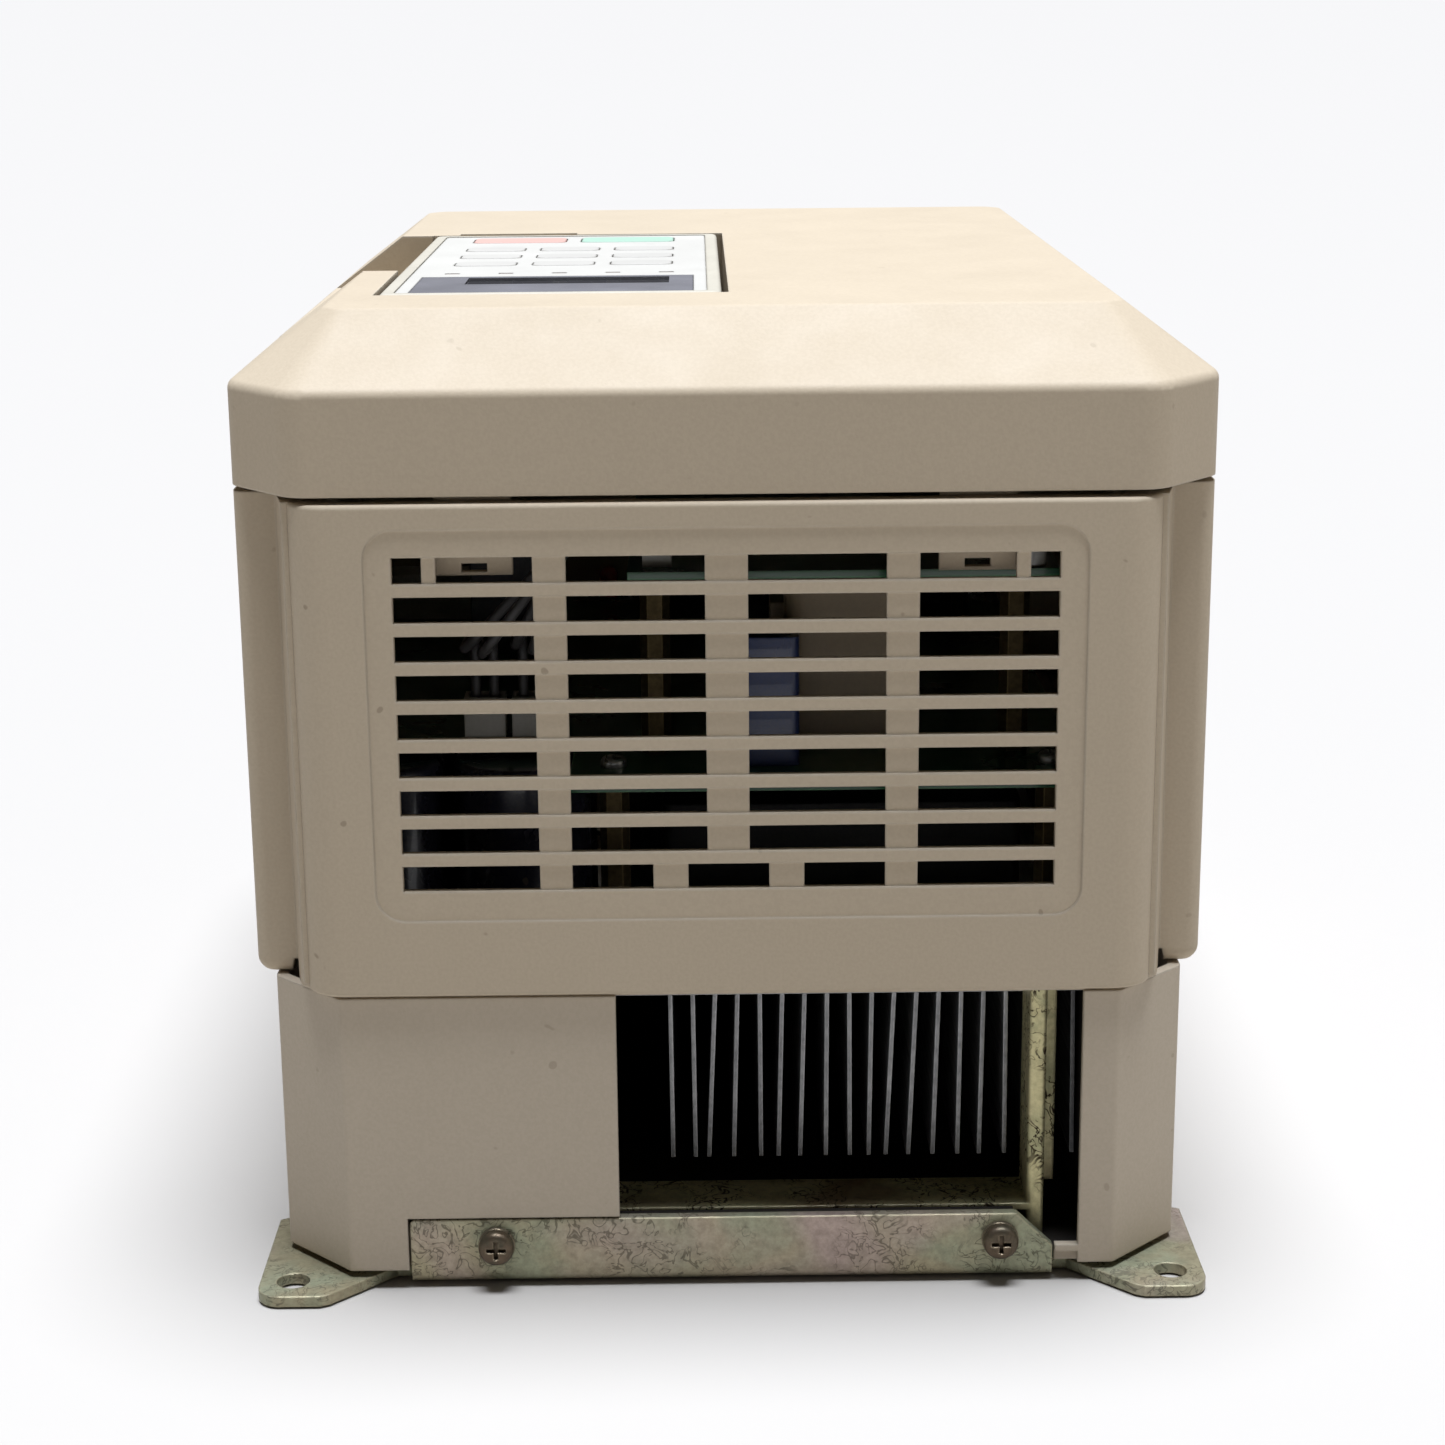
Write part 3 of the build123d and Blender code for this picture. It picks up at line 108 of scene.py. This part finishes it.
def edgeMask(tree, radius):  # bright where the bevelled normal leaves the true one
    bevel = addNode(tree, "ShaderNodeBevel", samples=edgeBlend["samples"], Radius=radius)
    shape = addNode(tree, "ShaderNodeNewGeometry")
    facing = addNode(tree, "ShaderNodeVectorMath", operation="DOT_PRODUCT")
    tree.links.new(bevel.outputs["Normal"], facing.inputs[0])
    tree.links.new(shape.outputs["Normal"], facing.inputs[1])
    mask = remap(tree, facing.outputs["Value"], edgeBlend["flat"], edgeBlend["rounded"])
    return mask, bevel.outputs["Normal"]


def bumpFrom(tree, height, strength, normal):
    bump = addNode(tree, "ShaderNodeBump", Distance=bumpDepth)
    tree.links.new(height, bump.inputs["Height"])
    connect(tree, strength, bump.inputs["Strength"])
    tree.links.new(normal, bump.inputs["Normal"])
    return bump.outputs["Normal"]


# a noise is its cycles per metre, detail, roughness and distortion
# a range is the noise values where an effect starts and is full, then its least and most
moulded = {
    "driftNoise": (9.0, 3.0),  # slow change of tone over a whole panel
    "driftRange": (0.3, 0.7, 0.0, 0.08),
    "mottleNoise": (1300.0, 1.0),  # fine speckle of the pigment
    "mottleRange": (0.35, 0.65, 0.0, 0.09),
    "speckNoise": (210.0, 1.0),  # small specks of dirt
    "speckRange": (0.765, 0.79),
    "patchNoise": (60.0, 4.0),  # where edges are rubbed and the gloss changes
    "rubbedRange": (0.3, 0.62, 0.35, 1.0),
    "glossRange": (0.3, 0.7, -0.05, 0.07),
    "grainNoise": (2.0, 0.5),  # its cycles are the Grain Size input
    "edgeWidth": 0.0008,
}


def makeMoulded():
    group, entry, result = newGroup(
        "mouldedPlastic",
        [
            ("Colour", "Color", (0.5, 0.5, 0.5, 1)),
            ("Edge Colour", "Color", (0.7, 0.7, 0.7, 1)),
            ("Grime Colour", "Color", (0.2, 0.18, 0.15, 1)),
            ("Roughness", "Float", 0.5),
            ("Grain Size", "Float", 1900.0),
            ("Grain Height", "Float", 0.12),
            ("Grime", "Float", 0.25),
            ("Wear", "Float", 0.35),
        ],
    )
    place = objectPlace(group)
    drift = remap(group, noise(group, place, *moulded["driftNoise"]), *moulded["driftRange"])
    colour = blendColour(group, drift, entry["Colour"], entry["Grime Colour"])
    mottle = remap(group, noise(group, place, *moulded["mottleNoise"]), *moulded["mottleRange"])
    colour = blendColour(group, mottle, colour, entry["Grime Colour"])
    specks = remap(group, noise(group, place, *moulded["speckNoise"]), *moulded["speckRange"])
    colour = blendColour(group, multiply(group, specks, entry["Grime"]), colour, entry["Grime Colour"])
    edge, rounded = edgeMask(group, moulded["edgeWidth"])
    patches = noise(group, place, *moulded["patchNoise"])
    rubbed = multiply(group, edge, remap(group, patches, *moulded["rubbedRange"]), entry["Wear"])
    colour = blendColour(group, rubbed, colour, entry["Edge Colour"])
    group.links.new(colour, result["Colour"])
    grain = noise(group, place, entry["Grain Size"], *moulded["grainNoise"])
    group.links.new(bumpFrom(group, grain, entry["Grain Height"], rounded), result["Normal"])
    shift = remap(group, patches, *moulded["glossRange"])
    group.links.new(calculate(group, "ADD", entry["Roughness"], shift, True), result["Roughness"])
    return group


passivated = {
    "filmNoise": (3.0, 0.6, 0.6),  # its cycles are the Film Size input
    "filmRange": (0.44, 0.62),
    "glossRange": (0.3, 0.7, -0.08, 0.10),
    "wanderNoise": (23.0, 2.0, 0.5, 0.8),  # slow change towards the pink film
    "wanderRange": (0.50, 0.68),
    "mottleNoise": (620.0, 4.0, 0.7),
    "mottleRange": (0.35, 0.70, 0.0, 0.35),
    "windingNoise": (230.0, 2.0, 0.6, 1.4),  # scratches run where it crosses its middle value
    "windingMiddle": 0.5,
    "scratchRange": (0.034, 0.012),
    "handledNoise": (60.0, 2.0),  # the areas that have scratches
    "handledRange": (0.45, 0.53),
    "scratchHeight": 0.25,
    "scratchRoughness": 0.3,
    "edgeWidth": 0.0007,
    "edgeWear": 0.75,
}


def makePassivated():  # zinc plate with an iridescent film, dark scratches and rubbed edges
    group, entry, result = newGroup(
        "passivatedSteel",
        [
            ("Colour", "Color", (0.42, 0.37, 0.24, 1)),
            ("Green Film", "Color", (0.36, 0.37, 0.25, 1)),
            ("Pink Film", "Color", (0.46, 0.36, 0.31, 1)),
            ("Scar Colour", "Color", (0.05, 0.04, 0.025, 1)),
            ("Edge Colour", "Color", (0.56, 0.50, 0.33, 1)),
            ("Roughness", "Float", 0.42),
            ("Scars", "Float", 0.55),
            ("Film Size", "Float", 45.0),
        ],
    )
    place = objectPlace(group)
    film = noise(group, place, entry["Film Size"], *passivated["filmNoise"])
    green = remap(group, film, *passivated["filmRange"])
    colour = blendColour(group, green, entry["Colour"], entry["Green Film"])
    wander = remap(group, noise(group, place, *passivated["wanderNoise"]), *passivated["wanderRange"])
    colour = blendColour(group, wander, colour, entry["Pink Film"])
    mottle = remap(group, noise(group, place, *passivated["mottleNoise"]), *passivated["mottleRange"])
    colour = blendColour(group, mottle, colour, entry["Scar Colour"])
    edge, rounded = edgeMask(group, passivated["edgeWidth"])
    colour = blendColour(group, multiply(group, edge, passivated["edgeWear"]), colour, entry["Edge Colour"])
    winding = noise(group, place, *passivated["windingNoise"])
    away = calculate(group, "SUBTRACT", winding, passivated["windingMiddle"])
    scratches = remap(group, calculate(group, "ABSOLUTE", away), *passivated["scratchRange"])
    handled = remap(group, noise(group, place, *passivated["handledNoise"]), *passivated["handledRange"])
    scars = multiply(group, scratches, handled, entry["Scars"])
    colour = blendColour(group, scars, colour, entry["Scar Colour"])
    group.links.new(colour, result["Colour"])
    group.links.new(bumpFrom(group, scars, passivated["scratchHeight"], rounded), result["Normal"])
    rough = calculate(group, "ADD", entry["Roughness"], remap(group, film, *passivated["glossRange"]))
    rough = calculate(group, "ADD", rough, multiply(group, scars, passivated["scratchRoughness"]), True)
    group.links.new(rough, result["Roughness"])
    return group


drawn = {
    "streakNoise": (1.0, 3.0, 0.6),  # stretched by the Streaks input
    "streakRange": (0.4, 0.7, 0.0, 0.3),
    "streakHeight": 0.1,
    "glossRange": (0.3, 0.7, -0.08, 0.12),
    "filmNoise": (80.0, 3.0),  # the dull areas
    "filmRange": (0.35, 0.7),
    "edgeWidth": 0.0004,
    "edgeWear": 0.8,
}


def makeDrawn():  # rolled or turned metal, with streaks along one way, a dull film and bright edges
    group, entry, result = newGroup(
        "drawnMetal",
        [
            ("Colour", "Color", (0.5, 0.5, 0.5, 1)),
            ("Dull Colour", "Color", (0.2, 0.2, 0.2, 1)),
            ("Edge Colour", "Color", (0.8, 0.8, 0.8, 1)),
            ("Roughness", "Float", 0.4),
            ("Streaks", "Vector", (900.0, 12.0, 900.0)),
            ("Dull", "Float", 0.5),
        ],
    )
    place = objectPlace(group)
    stretch = addNode(group, "ShaderNodeVectorMath", operation="MULTIPLY")
    group.links.new(place, stretch.inputs[0])
    group.links.new(entry["Streaks"], stretch.inputs[1])
    streaks = noise(group, stretch.outputs["Vector"], *drawn["streakNoise"])
    film = remap(group, noise(group, place, *drawn["filmNoise"]), *drawn["filmRange"])
    worn = remap(group, streaks, *drawn["streakRange"])
    dull = calculate(group, "ADD", multiply(group, film, entry["Dull"]), worn, True)
    colour = blendColour(group, dull, entry["Colour"], entry["Dull Colour"])
    edge, rounded = edgeMask(group, drawn["edgeWidth"])
    colour = blendColour(group, multiply(group, edge, drawn["edgeWear"]), colour, entry["Edge Colour"])
    group.links.new(colour, result["Colour"])
    group.links.new(bumpFrom(group, streaks, drawn["streakHeight"], rounded), result["Normal"])
    shift = remap(group, streaks, *drawn["glossRange"])
    group.links.new(calculate(group, "ADD", entry["Roughness"], shift, True), result["Roughness"])
    return group


groups = {"moulded": makeMoulded(), "passivated": makePassivated(), "drawn": makeDrawn()}
print("shared finishes built")


def makeFinish(name, group, values, metallic=0.0, coat=0.0, specular=0.5):
    material = bpy.data.materials.new(name)
    material.use_nodes = True
    tree = material.node_tree
    shader = tree.nodes["Principled BSDF"]
    node = addNode(tree, "ShaderNodeGroup", node_tree=groups[group])
    for key, value in values.items():
        node.inputs[key].default_value = (*value, 1) if isinstance(value, tuple) else value
    for label, socket in (("Colour", "Base Color"), ("Roughness", "Roughness"), ("Normal", "Normal")):
        tree.links.new(node.outputs[label], shader.inputs[socket])
    shader.inputs["Metallic"].default_value = metallic
    shader.inputs["Coat Weight"].default_value = coat
    shader.inputs["Specular IOR Level"].default_value = specular
    return material


def dress(material, *names):
    for name in names:
        nodes[name].data.materials.clear()
        nodes[name].data.materials.append(material)


casing = {
    "Colour": (0.47, 0.39, 0.287),
    "Edge Colour": (0.62, 0.56, 0.46),
    "Grime Colour": (0.24, 0.19, 0.13),
    "Roughness": 0.6,
    "Wear": 0.45,
}
coverPlastic = {**casing, "Colour": (0.465, 0.385, 0.283), "Grain Height": 0.16}
basePlastic = {**casing, "Colour": (0.475, 0.405, 0.315), "Grime": 0.35}
ventPlastic = {**casing, "Grime": 0.6}
guardPlastic = {**casing, "Grime": 0.8}
mattShine = 0.22  # the mouldings' soft shine
baseFinish = makeFinish("basePlastic", "moulded", basePlastic, specular=mattShine)
dress(makeFinish("coverPlastic", "moulded", coverPlastic, specular=mattShine), "front_cover")
dress(makeFinish("casePlastic", "moulded", casing, specular=mattShine), "upper_case")
dress(makeFinish("ventPlastic", "moulded", ventPlastic, specular=mattShine), "top_vent_panel")
dress(makeFinish("guardPlastic", "moulded", guardPlastic), "fan_guard")
dress(baseFinish, "base_case")

# inside the air duct the base is painted near-black: painted shade where little light gets in
ductShade = {
    "colour": (0.035, 0.030, 0.026, 1),
    "near": -0.1392,  # limits of the duct, in metres
    "left": -0.0285,
    "right": 0.0778,
    "top": 0.0645,
    "lowestNormal": -0.5,  # faces that look down get no painted shade
}


def addDuctShade(material):
    tree = material.node_tree
    place = splitAxes(tree, objectPlace(tree))
    normal = splitAxes(tree, addNode(tree, "ShaderNodeNewGeometry").outputs["Normal"])
    # the mask of the painted shade: inside the duct's box, on faces that don't look down
    paintedShade = multiply(
        tree,
        calculate(tree, "GREATER_THAN", place["Y"], ductShade["near"]),
        calculate(tree, "GREATER_THAN", place["X"], ductShade["left"]),
        calculate(tree, "LESS_THAN", place["X"], ductShade["right"]),
        calculate(tree, "LESS_THAN", place["Z"], ductShade["top"]),
        calculate(tree, "GREATER_THAN", normal["Z"], ductShade["lowestNormal"]),
    )
    baseColour = tree.nodes["Principled BSDF"].inputs["Base Color"]
    unshaded = baseColour.links[0].from_socket
    # the painted shade is blended over the base's own colour
    tree.links.new(blendColour(tree, paintedShade, unshaded, ductShade["colour"]), baseColour)


addDuctShade(baseFinish)
print("casing finished")

frameSteel = {
    "Colour": (0.62, 0.56, 0.31),
    "Green Film": (0.50, 0.48, 0.27),
    "Pink Film": (0.30, 0.22, 0.12),
    "Edge Colour": (0.70, 0.66, 0.44),
    "Scar Colour": (0.06, 0.04, 0.02),
    "Scars": 1.0,
    "Film Size": 120.0,
}
screwSteel = {
    "Colour": (0.12, 0.085, 0.055),
    "Green Film": (0.09, 0.075, 0.05),
    "Pink Film": (0.15, 0.10, 0.08),
    "Edge Colour": (0.30, 0.24, 0.16),
    "Scars": 0.3,
    "Film Size": 160.0,
    "Roughness": 0.36,
}
washerSteel = {**screwSteel, "Colour": (0.20, 0.17, 0.12)}
plateSteel = {
    "Colour": (0.52, 0.52, 0.50),
    "Dull Colour": (0.34, 0.34, 0.33),
    "Edge Colour": (0.7, 0.7, 0.68),
    "Roughness": 0.42,
}
bracketSteel = makeFinish("bracketSteel", "passivated", {}, metallic=0.55)
dress(bracketSteel, "mounting_bracket_top", "mounting_bracket_bottom")
dress(makeFinish("frameSteel", "passivated", frameSteel, metallic=0.5), "duct_frame")
dress(makeFinish("screwSteel", "passivated", screwSteel, metallic=0.7), "bracket_screws")
dress(makeFinish("washerSteel", "passivated", washerSteel, metallic=0.7), "spring_washers")
dress(makeFinish("plateSteel", "drawn", plateSteel, metallic=0.8), "cable_entry_plate")
print("steel finished")

# the fins' sides and dull film are painted dark as painted shade, and their edges near-white as a painted
# highlight
finAluminiumPaintedShadeAndHighlight = {
    "Colour": (0.30, 0.30, 0.30),
    "Dull Colour": (0.10, 0.10, 0.11),
    "Edge Colour": (0.95, 0.95, 0.96),
    "Roughness": 0.45,
}
sinkAluminium = {
    "Colour": (0.50, 0.50, 0.50),
    "Dull Colour": (0.30, 0.30, 0.31),
    "Edge Colour": (0.75, 0.75, 0.75),
    "Roughness": 0.4,
}
blackPlastic = {
    "Colour": (0.018, 0.018, 0.019),
    "Edge Colour": (0.06, 0.06, 0.06),
    "Grime Colour": (0.10, 0.085, 0.065),
    "Roughness": 0.48,
    "Grime": 0.5,
}
rotorPlastic = {**blackPlastic, "Grime": 0.9, "Roughness": 0.4}
dress(makeFinish("finAluminiumPaintedShadeAndHighlight", "drawn", finAluminiumPaintedShadeAndHighlight, metallic=0.7), "heatsink_fins")
dress(makeFinish("sinkAluminium", "drawn", sinkAluminium, metallic=0.85), "heatsink_base")
dress(makeFinish("fanPlastic", "moulded", blackPlastic), "fan_frames")
dress(makeFinish("rotorPlastic", "moulded", rotorPlastic), "fan_rotor_left", "fan_rotor_right")
print("heat sink and fans finished")

modulePlastic = {**blackPlastic, "Roughness": 0.55}
capacitorSleeve = {**blackPlastic, "Colour": (0.012, 0.014, 0.03), "Roughness": 0.25, "Grain Height": 0.02}
boardLaminate = {
    "Colour": (0.012, 0.075, 0.035),
    "Edge Colour": (0.10, 0.30, 0.12),
    "Grime Colour": (0.03, 0.05, 0.03),
    "Roughness": 0.3,
    "Wear": 1.0,
}
postBrass = {
    "Colour": (0.09, 0.065, 0.03),
    "Dull Colour": (0.045, 0.033, 0.016),
    "Edge Colour": (0.25, 0.19, 0.09),
    "Roughness": 0.55,
}
boardScrewSteel = {**plateSteel, "Roughness": 0.3}
terminalNickel = {**plateSteel, "Colour": (0.62, 0.59, 0.52), "Roughness": 0.28}
terminalBlack = {**blackPlastic, "Colour": (0.022, 0.021, 0.02)}
terminalGreen = {**blackPlastic, "Colour": (0.02, 0.16, 0.06), "Edge Colour": (0.08, 0.3, 0.14)}
modules = ("rectifier_module", "igbt_module", "control_chips")
boards = ("power_board", "control_board", "keypad_board")
dress(makeFinish("modulePlastic", "moulded", modulePlastic), *modules)
dress(makeFinish("capacitorSleeve", "moulded", capacitorSleeve, coat=0.3), "dc_capacitors")
dress(makeFinish("boardLaminate", "moulded", boardLaminate, coat=0.25), *boards)
dress(makeFinish("postBrass", "drawn", postBrass, metallic=0.9), "board_posts")
smallScrews = makeFinish("smallScrewSteel", "drawn", boardScrewSteel, metallic=0.9)
dress(smallScrews, "board_screws", "control_terminal_screws")
dress(makeFinish("terminalScrewNickel", "drawn", terminalNickel, metallic=0.95), "main_terminal_screws")
blackMouldings = ("main_terminals", "operator_socket", "keypad_plug")
dress(makeFinish("terminalBlack", "moulded", terminalBlack), *blackMouldings)
dress(makeFinish("terminalGreen", "moulded", terminalGreen), "control_terminals")
print("boards and terminals finished")

relayPlastic = {**blackPlastic, "Colour": (0.02, 0.022, 0.03), "Roughness": 0.3}
sensorPlastic = {**blackPlastic, "Colour": (0.02, 0.03, 0.06)}
resistorCeramic = {
    **blackPlastic,
    "Colour": (0.55, 0.53, 0.48),
    "Edge Colour": (0.7, 0.68, 0.62),
    "Roughness": 0.8,
}
transformerTape = {
    **blackPlastic,
    "Colour": (0.32, 0.235, 0.14),
    "Edge Colour": (0.42, 0.32, 0.2),
    "Roughness": 0.45,
    "Grain Size": 400.0,
}
filmCapacitorCase = {
    **blackPlastic,
    "Colour": (0.012, 0.028, 0.11),
    "Edge Colour": (0.04, 0.08, 0.2),
    "Roughness": 0.3,
}
whitePlastic = {
    "Colour": (0.55, 0.53, 0.48),
    "Edge Colour": (0.7, 0.68, 0.64),
    "Grime Colour": (0.25, 0.22, 0.17),
    "Roughness": 0.45,
}
wireJacket = {**blackPlastic, "Colour": (0.05, 0.048, 0.05), "Roughness": 0.35}
redLens = {
    **whitePlastic,
    "Colour": (0.50, 0.05, 0.03),
    "Edge Colour": (0.8, 0.2, 0.15),
    "Roughness": 0.15,
}
clearLens = {**whitePlastic, "Colour": (0.75, 0.74, 0.70), "Roughness": 0.15}
dress(makeFinish("relayPlastic", "moulded", relayPlastic), "charge_relay")
dress(makeFinish("sensorPlastic", "moulded", sensorPlastic), "current_sensors")
dress(makeFinish("resistorCeramic", "moulded", resistorCeramic), "precharge_resistor")
dress(makeFinish("transformerTape", "moulded", transformerTape), "supply_transformer")
dress(makeFinish("filmCapacitorCase", "moulded", filmCapacitorCase, coat=0.3), "film_capacitor")
dress(makeFinish("headerPlastic", "moulded", whitePlastic), "wire_headers")
dress(makeFinish("wireJacket", "moulded", wireJacket), "wire_harness")
dress(makeFinish("chargeLampLens", "moulded", redLens, coat=0.5), "charge_lamp")
dress(makeFinish("boardLampLens", "moulded", clearLens, coat=0.5), "board_lamp")
print("parts on the boards finished")

keypadPlastic = {**casing, "Colour": (0.50, 0.46, 0.38), "Roughness": 0.42, "Grime": 0.15}
latchPlastic = {**casing, "Roughness": 0.45}
overlayFilm = {
    "Colour": (0.49, 0.465, 0.42),
    "Edge Colour": (0.54, 0.51, 0.46),
    "Grime Colour": (0.36, 0.34, 0.30),
    "Roughness": 0.5,
    "Grain Size": 3000.0,
    "Grain Height": 0.05,
}
plainKey = {**overlayFilm, "Colour": (0.45, 0.425, 0.385)}
stopKey = {**overlayFilm, "Colour": (0.56, 0.33, 0.28)}
runKey = {**overlayFilm, "Colour": (0.32, 0.47, 0.37)}
lampPlastic = {**overlayFilm, "Colour": (0.42, 0.34, 0.30), "Roughness": 0.2}
displayGlass = {
    **overlayFilm,
    "Colour": (0.60, 0.60, 0.54),
    "Edge Colour": (0.4, 0.4, 0.38),
    "Grime Colour": (0.48, 0.49, 0.43),
    "Roughness": 0.2,
}
colouredKeys = ("key_stop", "key_run")
plainKeys = [name for name in nodes if name.startswith("key_") and name not in colouredKeys]
dress(makeFinish("keypadPlastic", "moulded", keypadPlastic, specular=mattShine), "keypad_case")
dress(makeFinish("latchPlastic", "moulded", latchPlastic), "keypad_latch")
dress(makeFinish("overlayFilm", "moulded", overlayFilm, specular=mattShine), "keypad_overlay")
dress(makeFinish("keyPlastic", "moulded", plainKey, specular=mattShine), *plainKeys)
dress(makeFinish("stopKeyPlastic", "moulded", stopKey, specular=mattShine), "key_stop")
dress(makeFinish("runKeyPlastic", "moulded", runKey, specular=mattShine), "key_run")
dress(makeFinish("lampPlastic", "moulded", lampPlastic), "keypad_lamps")
dress(makeFinish("displayGlass", "moulded", displayGlass, coat=0.4), "keypad_display")

# the lens is printed grey around its clear window
lensPlastic = {
    **overlayFilm,
    "Colour": (0.27, 0.26, 0.28),
    "Edge Colour": (0.34, 0.33, 0.35),
    "Roughness": 0.22,
}
lensWindow = {"left": 0.0105, "right": 0.00525, "near": 0.018, "far": 0.0027, "opacity": 0.12}


def makeLens():
    material = makeFinish("lensPlastic", "moulded", lensPlastic, coat=0.4)
    tree = material.node_tree
    low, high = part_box("display_lens")
    place = splitAxes(tree, objectPlace(tree))
    limits = {
        "X": (low.x + lensWindow["left"], high.x - lensWindow["right"]),
        "Y": (low.y + lensWindow["near"], high.y - lensWindow["far"]),
    }
    within = []
    for axis, (start, end) in limits.items():
        away = calculate(tree, "ABSOLUTE", calculate(tree, "SUBTRACT", place[axis], (start + end) / 2))
        within.append(calculate(tree, "LESS_THAN", away, (end - start) / 2))
    opacity = remap(tree, multiply(tree, *within), 0.0, 1.0, 1.0, lensWindow["opacity"])
    tree.links.new(opacity, tree.nodes["Principled BSDF"].inputs["Alpha"])
    return material


dress(makeLens(), "display_lens")
print("keypad finished")

view = {
    "place": (-0.0053, -0.6850, 0.2674),
    "pitch": 14.84,  # degrees down from level
    "yaw": 0.45,
    "roll": -0.52,
    "lens": 69.575,
    "sensor": 36,
    "nearest": 0.01,
}


def addCamera():
    pitch, yaw, roll = (math.radians(view[angle]) for angle in ("pitch", "yaw", "roll"))
    ahead = Vector((math.sin(yaw) * math.cos(pitch), math.cos(yaw) * math.cos(pitch), -math.sin(pitch)))
    right = Vector((math.cos(yaw), -math.sin(yaw), 0))
    up = right.cross(ahead)
    rolledRight = math.cos(roll) * right + math.sin(roll) * up
    rolledUp = math.cos(roll) * up - math.sin(roll) * right
    camera = bpy.data.objects.new("camera", bpy.data.cameras.new("camera"))
    scene.collection.objects.link(camera)
    turn = Matrix((rolledRight, rolledUp, -ahead)).transposed()
    camera.matrix_world = Matrix.Translation(view["place"]) @ turn.to_4x4()
    camera.data.lens = view["lens"]
    camera.data.sensor_width = view["sensor"]
    camera.data.clip_start = view["nearest"]
    scene.camera = camera


addCamera()
print("camera placed")

studioFloor = {"colour": (0.42, 0.395, 0.365), "size": 600.0, "drop": 0.0005, "roughness": 0.95, "shine": 0.1}


def addFloor():
    bpy.ops.object.select_all(action="DESELECT")
    bpy.ops.mesh.primitive_plane_add(size=studioFloor["size"], location=(0, 0, -studioFloor["drop"]))
    floor = bpy.context.object
    floor.name = "floor"
    material = bpy.data.materials.new("paleFloor")
    material.use_nodes = True
    shader = material.node_tree.nodes["Principled BSDF"]
    shader.inputs["Base Color"].default_value = (*studioFloor["colour"], 1)
    shader.inputs["Roughness"].default_value = studioFloor["roughness"]
    shader.inputs["Specular IOR Level"].default_value = studioFloor["shine"]
    floor.data.materials.append(material)


addFloor()
print("floor laid")

overheadLight = {"strength": 7.6, "colour": (0.93, 0.99, 1.09), "spread": 30.0, "tilt": (-1, 2, 0)}
softLights = {
    "leftLight": {
        "place": (-2.0, -0.9, 0.9),
        "target": (0, 0, 0.1),
        "size": (1.4, 1.2),
        "power": 0.8,
        "colour": (1, 0.93, 0.85),
    },
    "rightLight": {
        "place": (2.0, -0.9, 0.9),
        "target": (0, 0, 0.1),
        "size": (1.4, 1.2),
        "power": 4.2,
        "colour": (1, 0.95, 0.88),
    },
    "lowLight": {
        "place": (0.0, -0.62, 0.03),
        "target": (0, 0, 0.03),
        "size": (1.0, 0.05),
        "power": 0.05,
        "colour": (1, 0.93, 0.84),
    },
}
surround = {"colour": (1, 0.98, 0.95, 1), "strength": 0.03}


def addOverheadLight():
    light = bpy.data.lights.new("skyLight", "SUN")
    light.energy = overheadLight["strength"]
    light.color = overheadLight["colour"]
    light.angle = math.radians(overheadLight["spread"])
    lamp = bpy.data.objects.new("skyLight", light)
    scene.collection.objects.link(lamp)
    lamp.rotation_euler = [math.radians(angle) for angle in overheadLight["tilt"]]


def addSoftLight(name, settings):
    light = bpy.data.lights.new(name, "AREA")
    light.shape = "RECTANGLE"
    light.size, light.size_y = settings["size"]
    light.energy = settings["power"]
    light.color = settings["colour"]
    lamp = bpy.data.objects.new(name, light)
    scene.collection.objects.link(lamp)
    lamp.location = settings["place"]
    aim = Vector(settings["target"]) - Vector(settings["place"])
    lamp.rotation_euler = aim.to_track_quat("-Z", "Y").to_euler()


addOverheadLight()
for name, settings in softLights.items():
    addSoftLight(name, settings)
world = bpy.data.worlds.new("studio")
world.use_nodes = True
backdrop = world.node_tree.nodes["Background"]
backdrop.inputs["Color"].default_value = surround["colour"]
backdrop.inputs["Strength"].default_value = surround["strength"]
scene.world = world
scene.view_settings.view_transform = "Standard"
print("light ready")
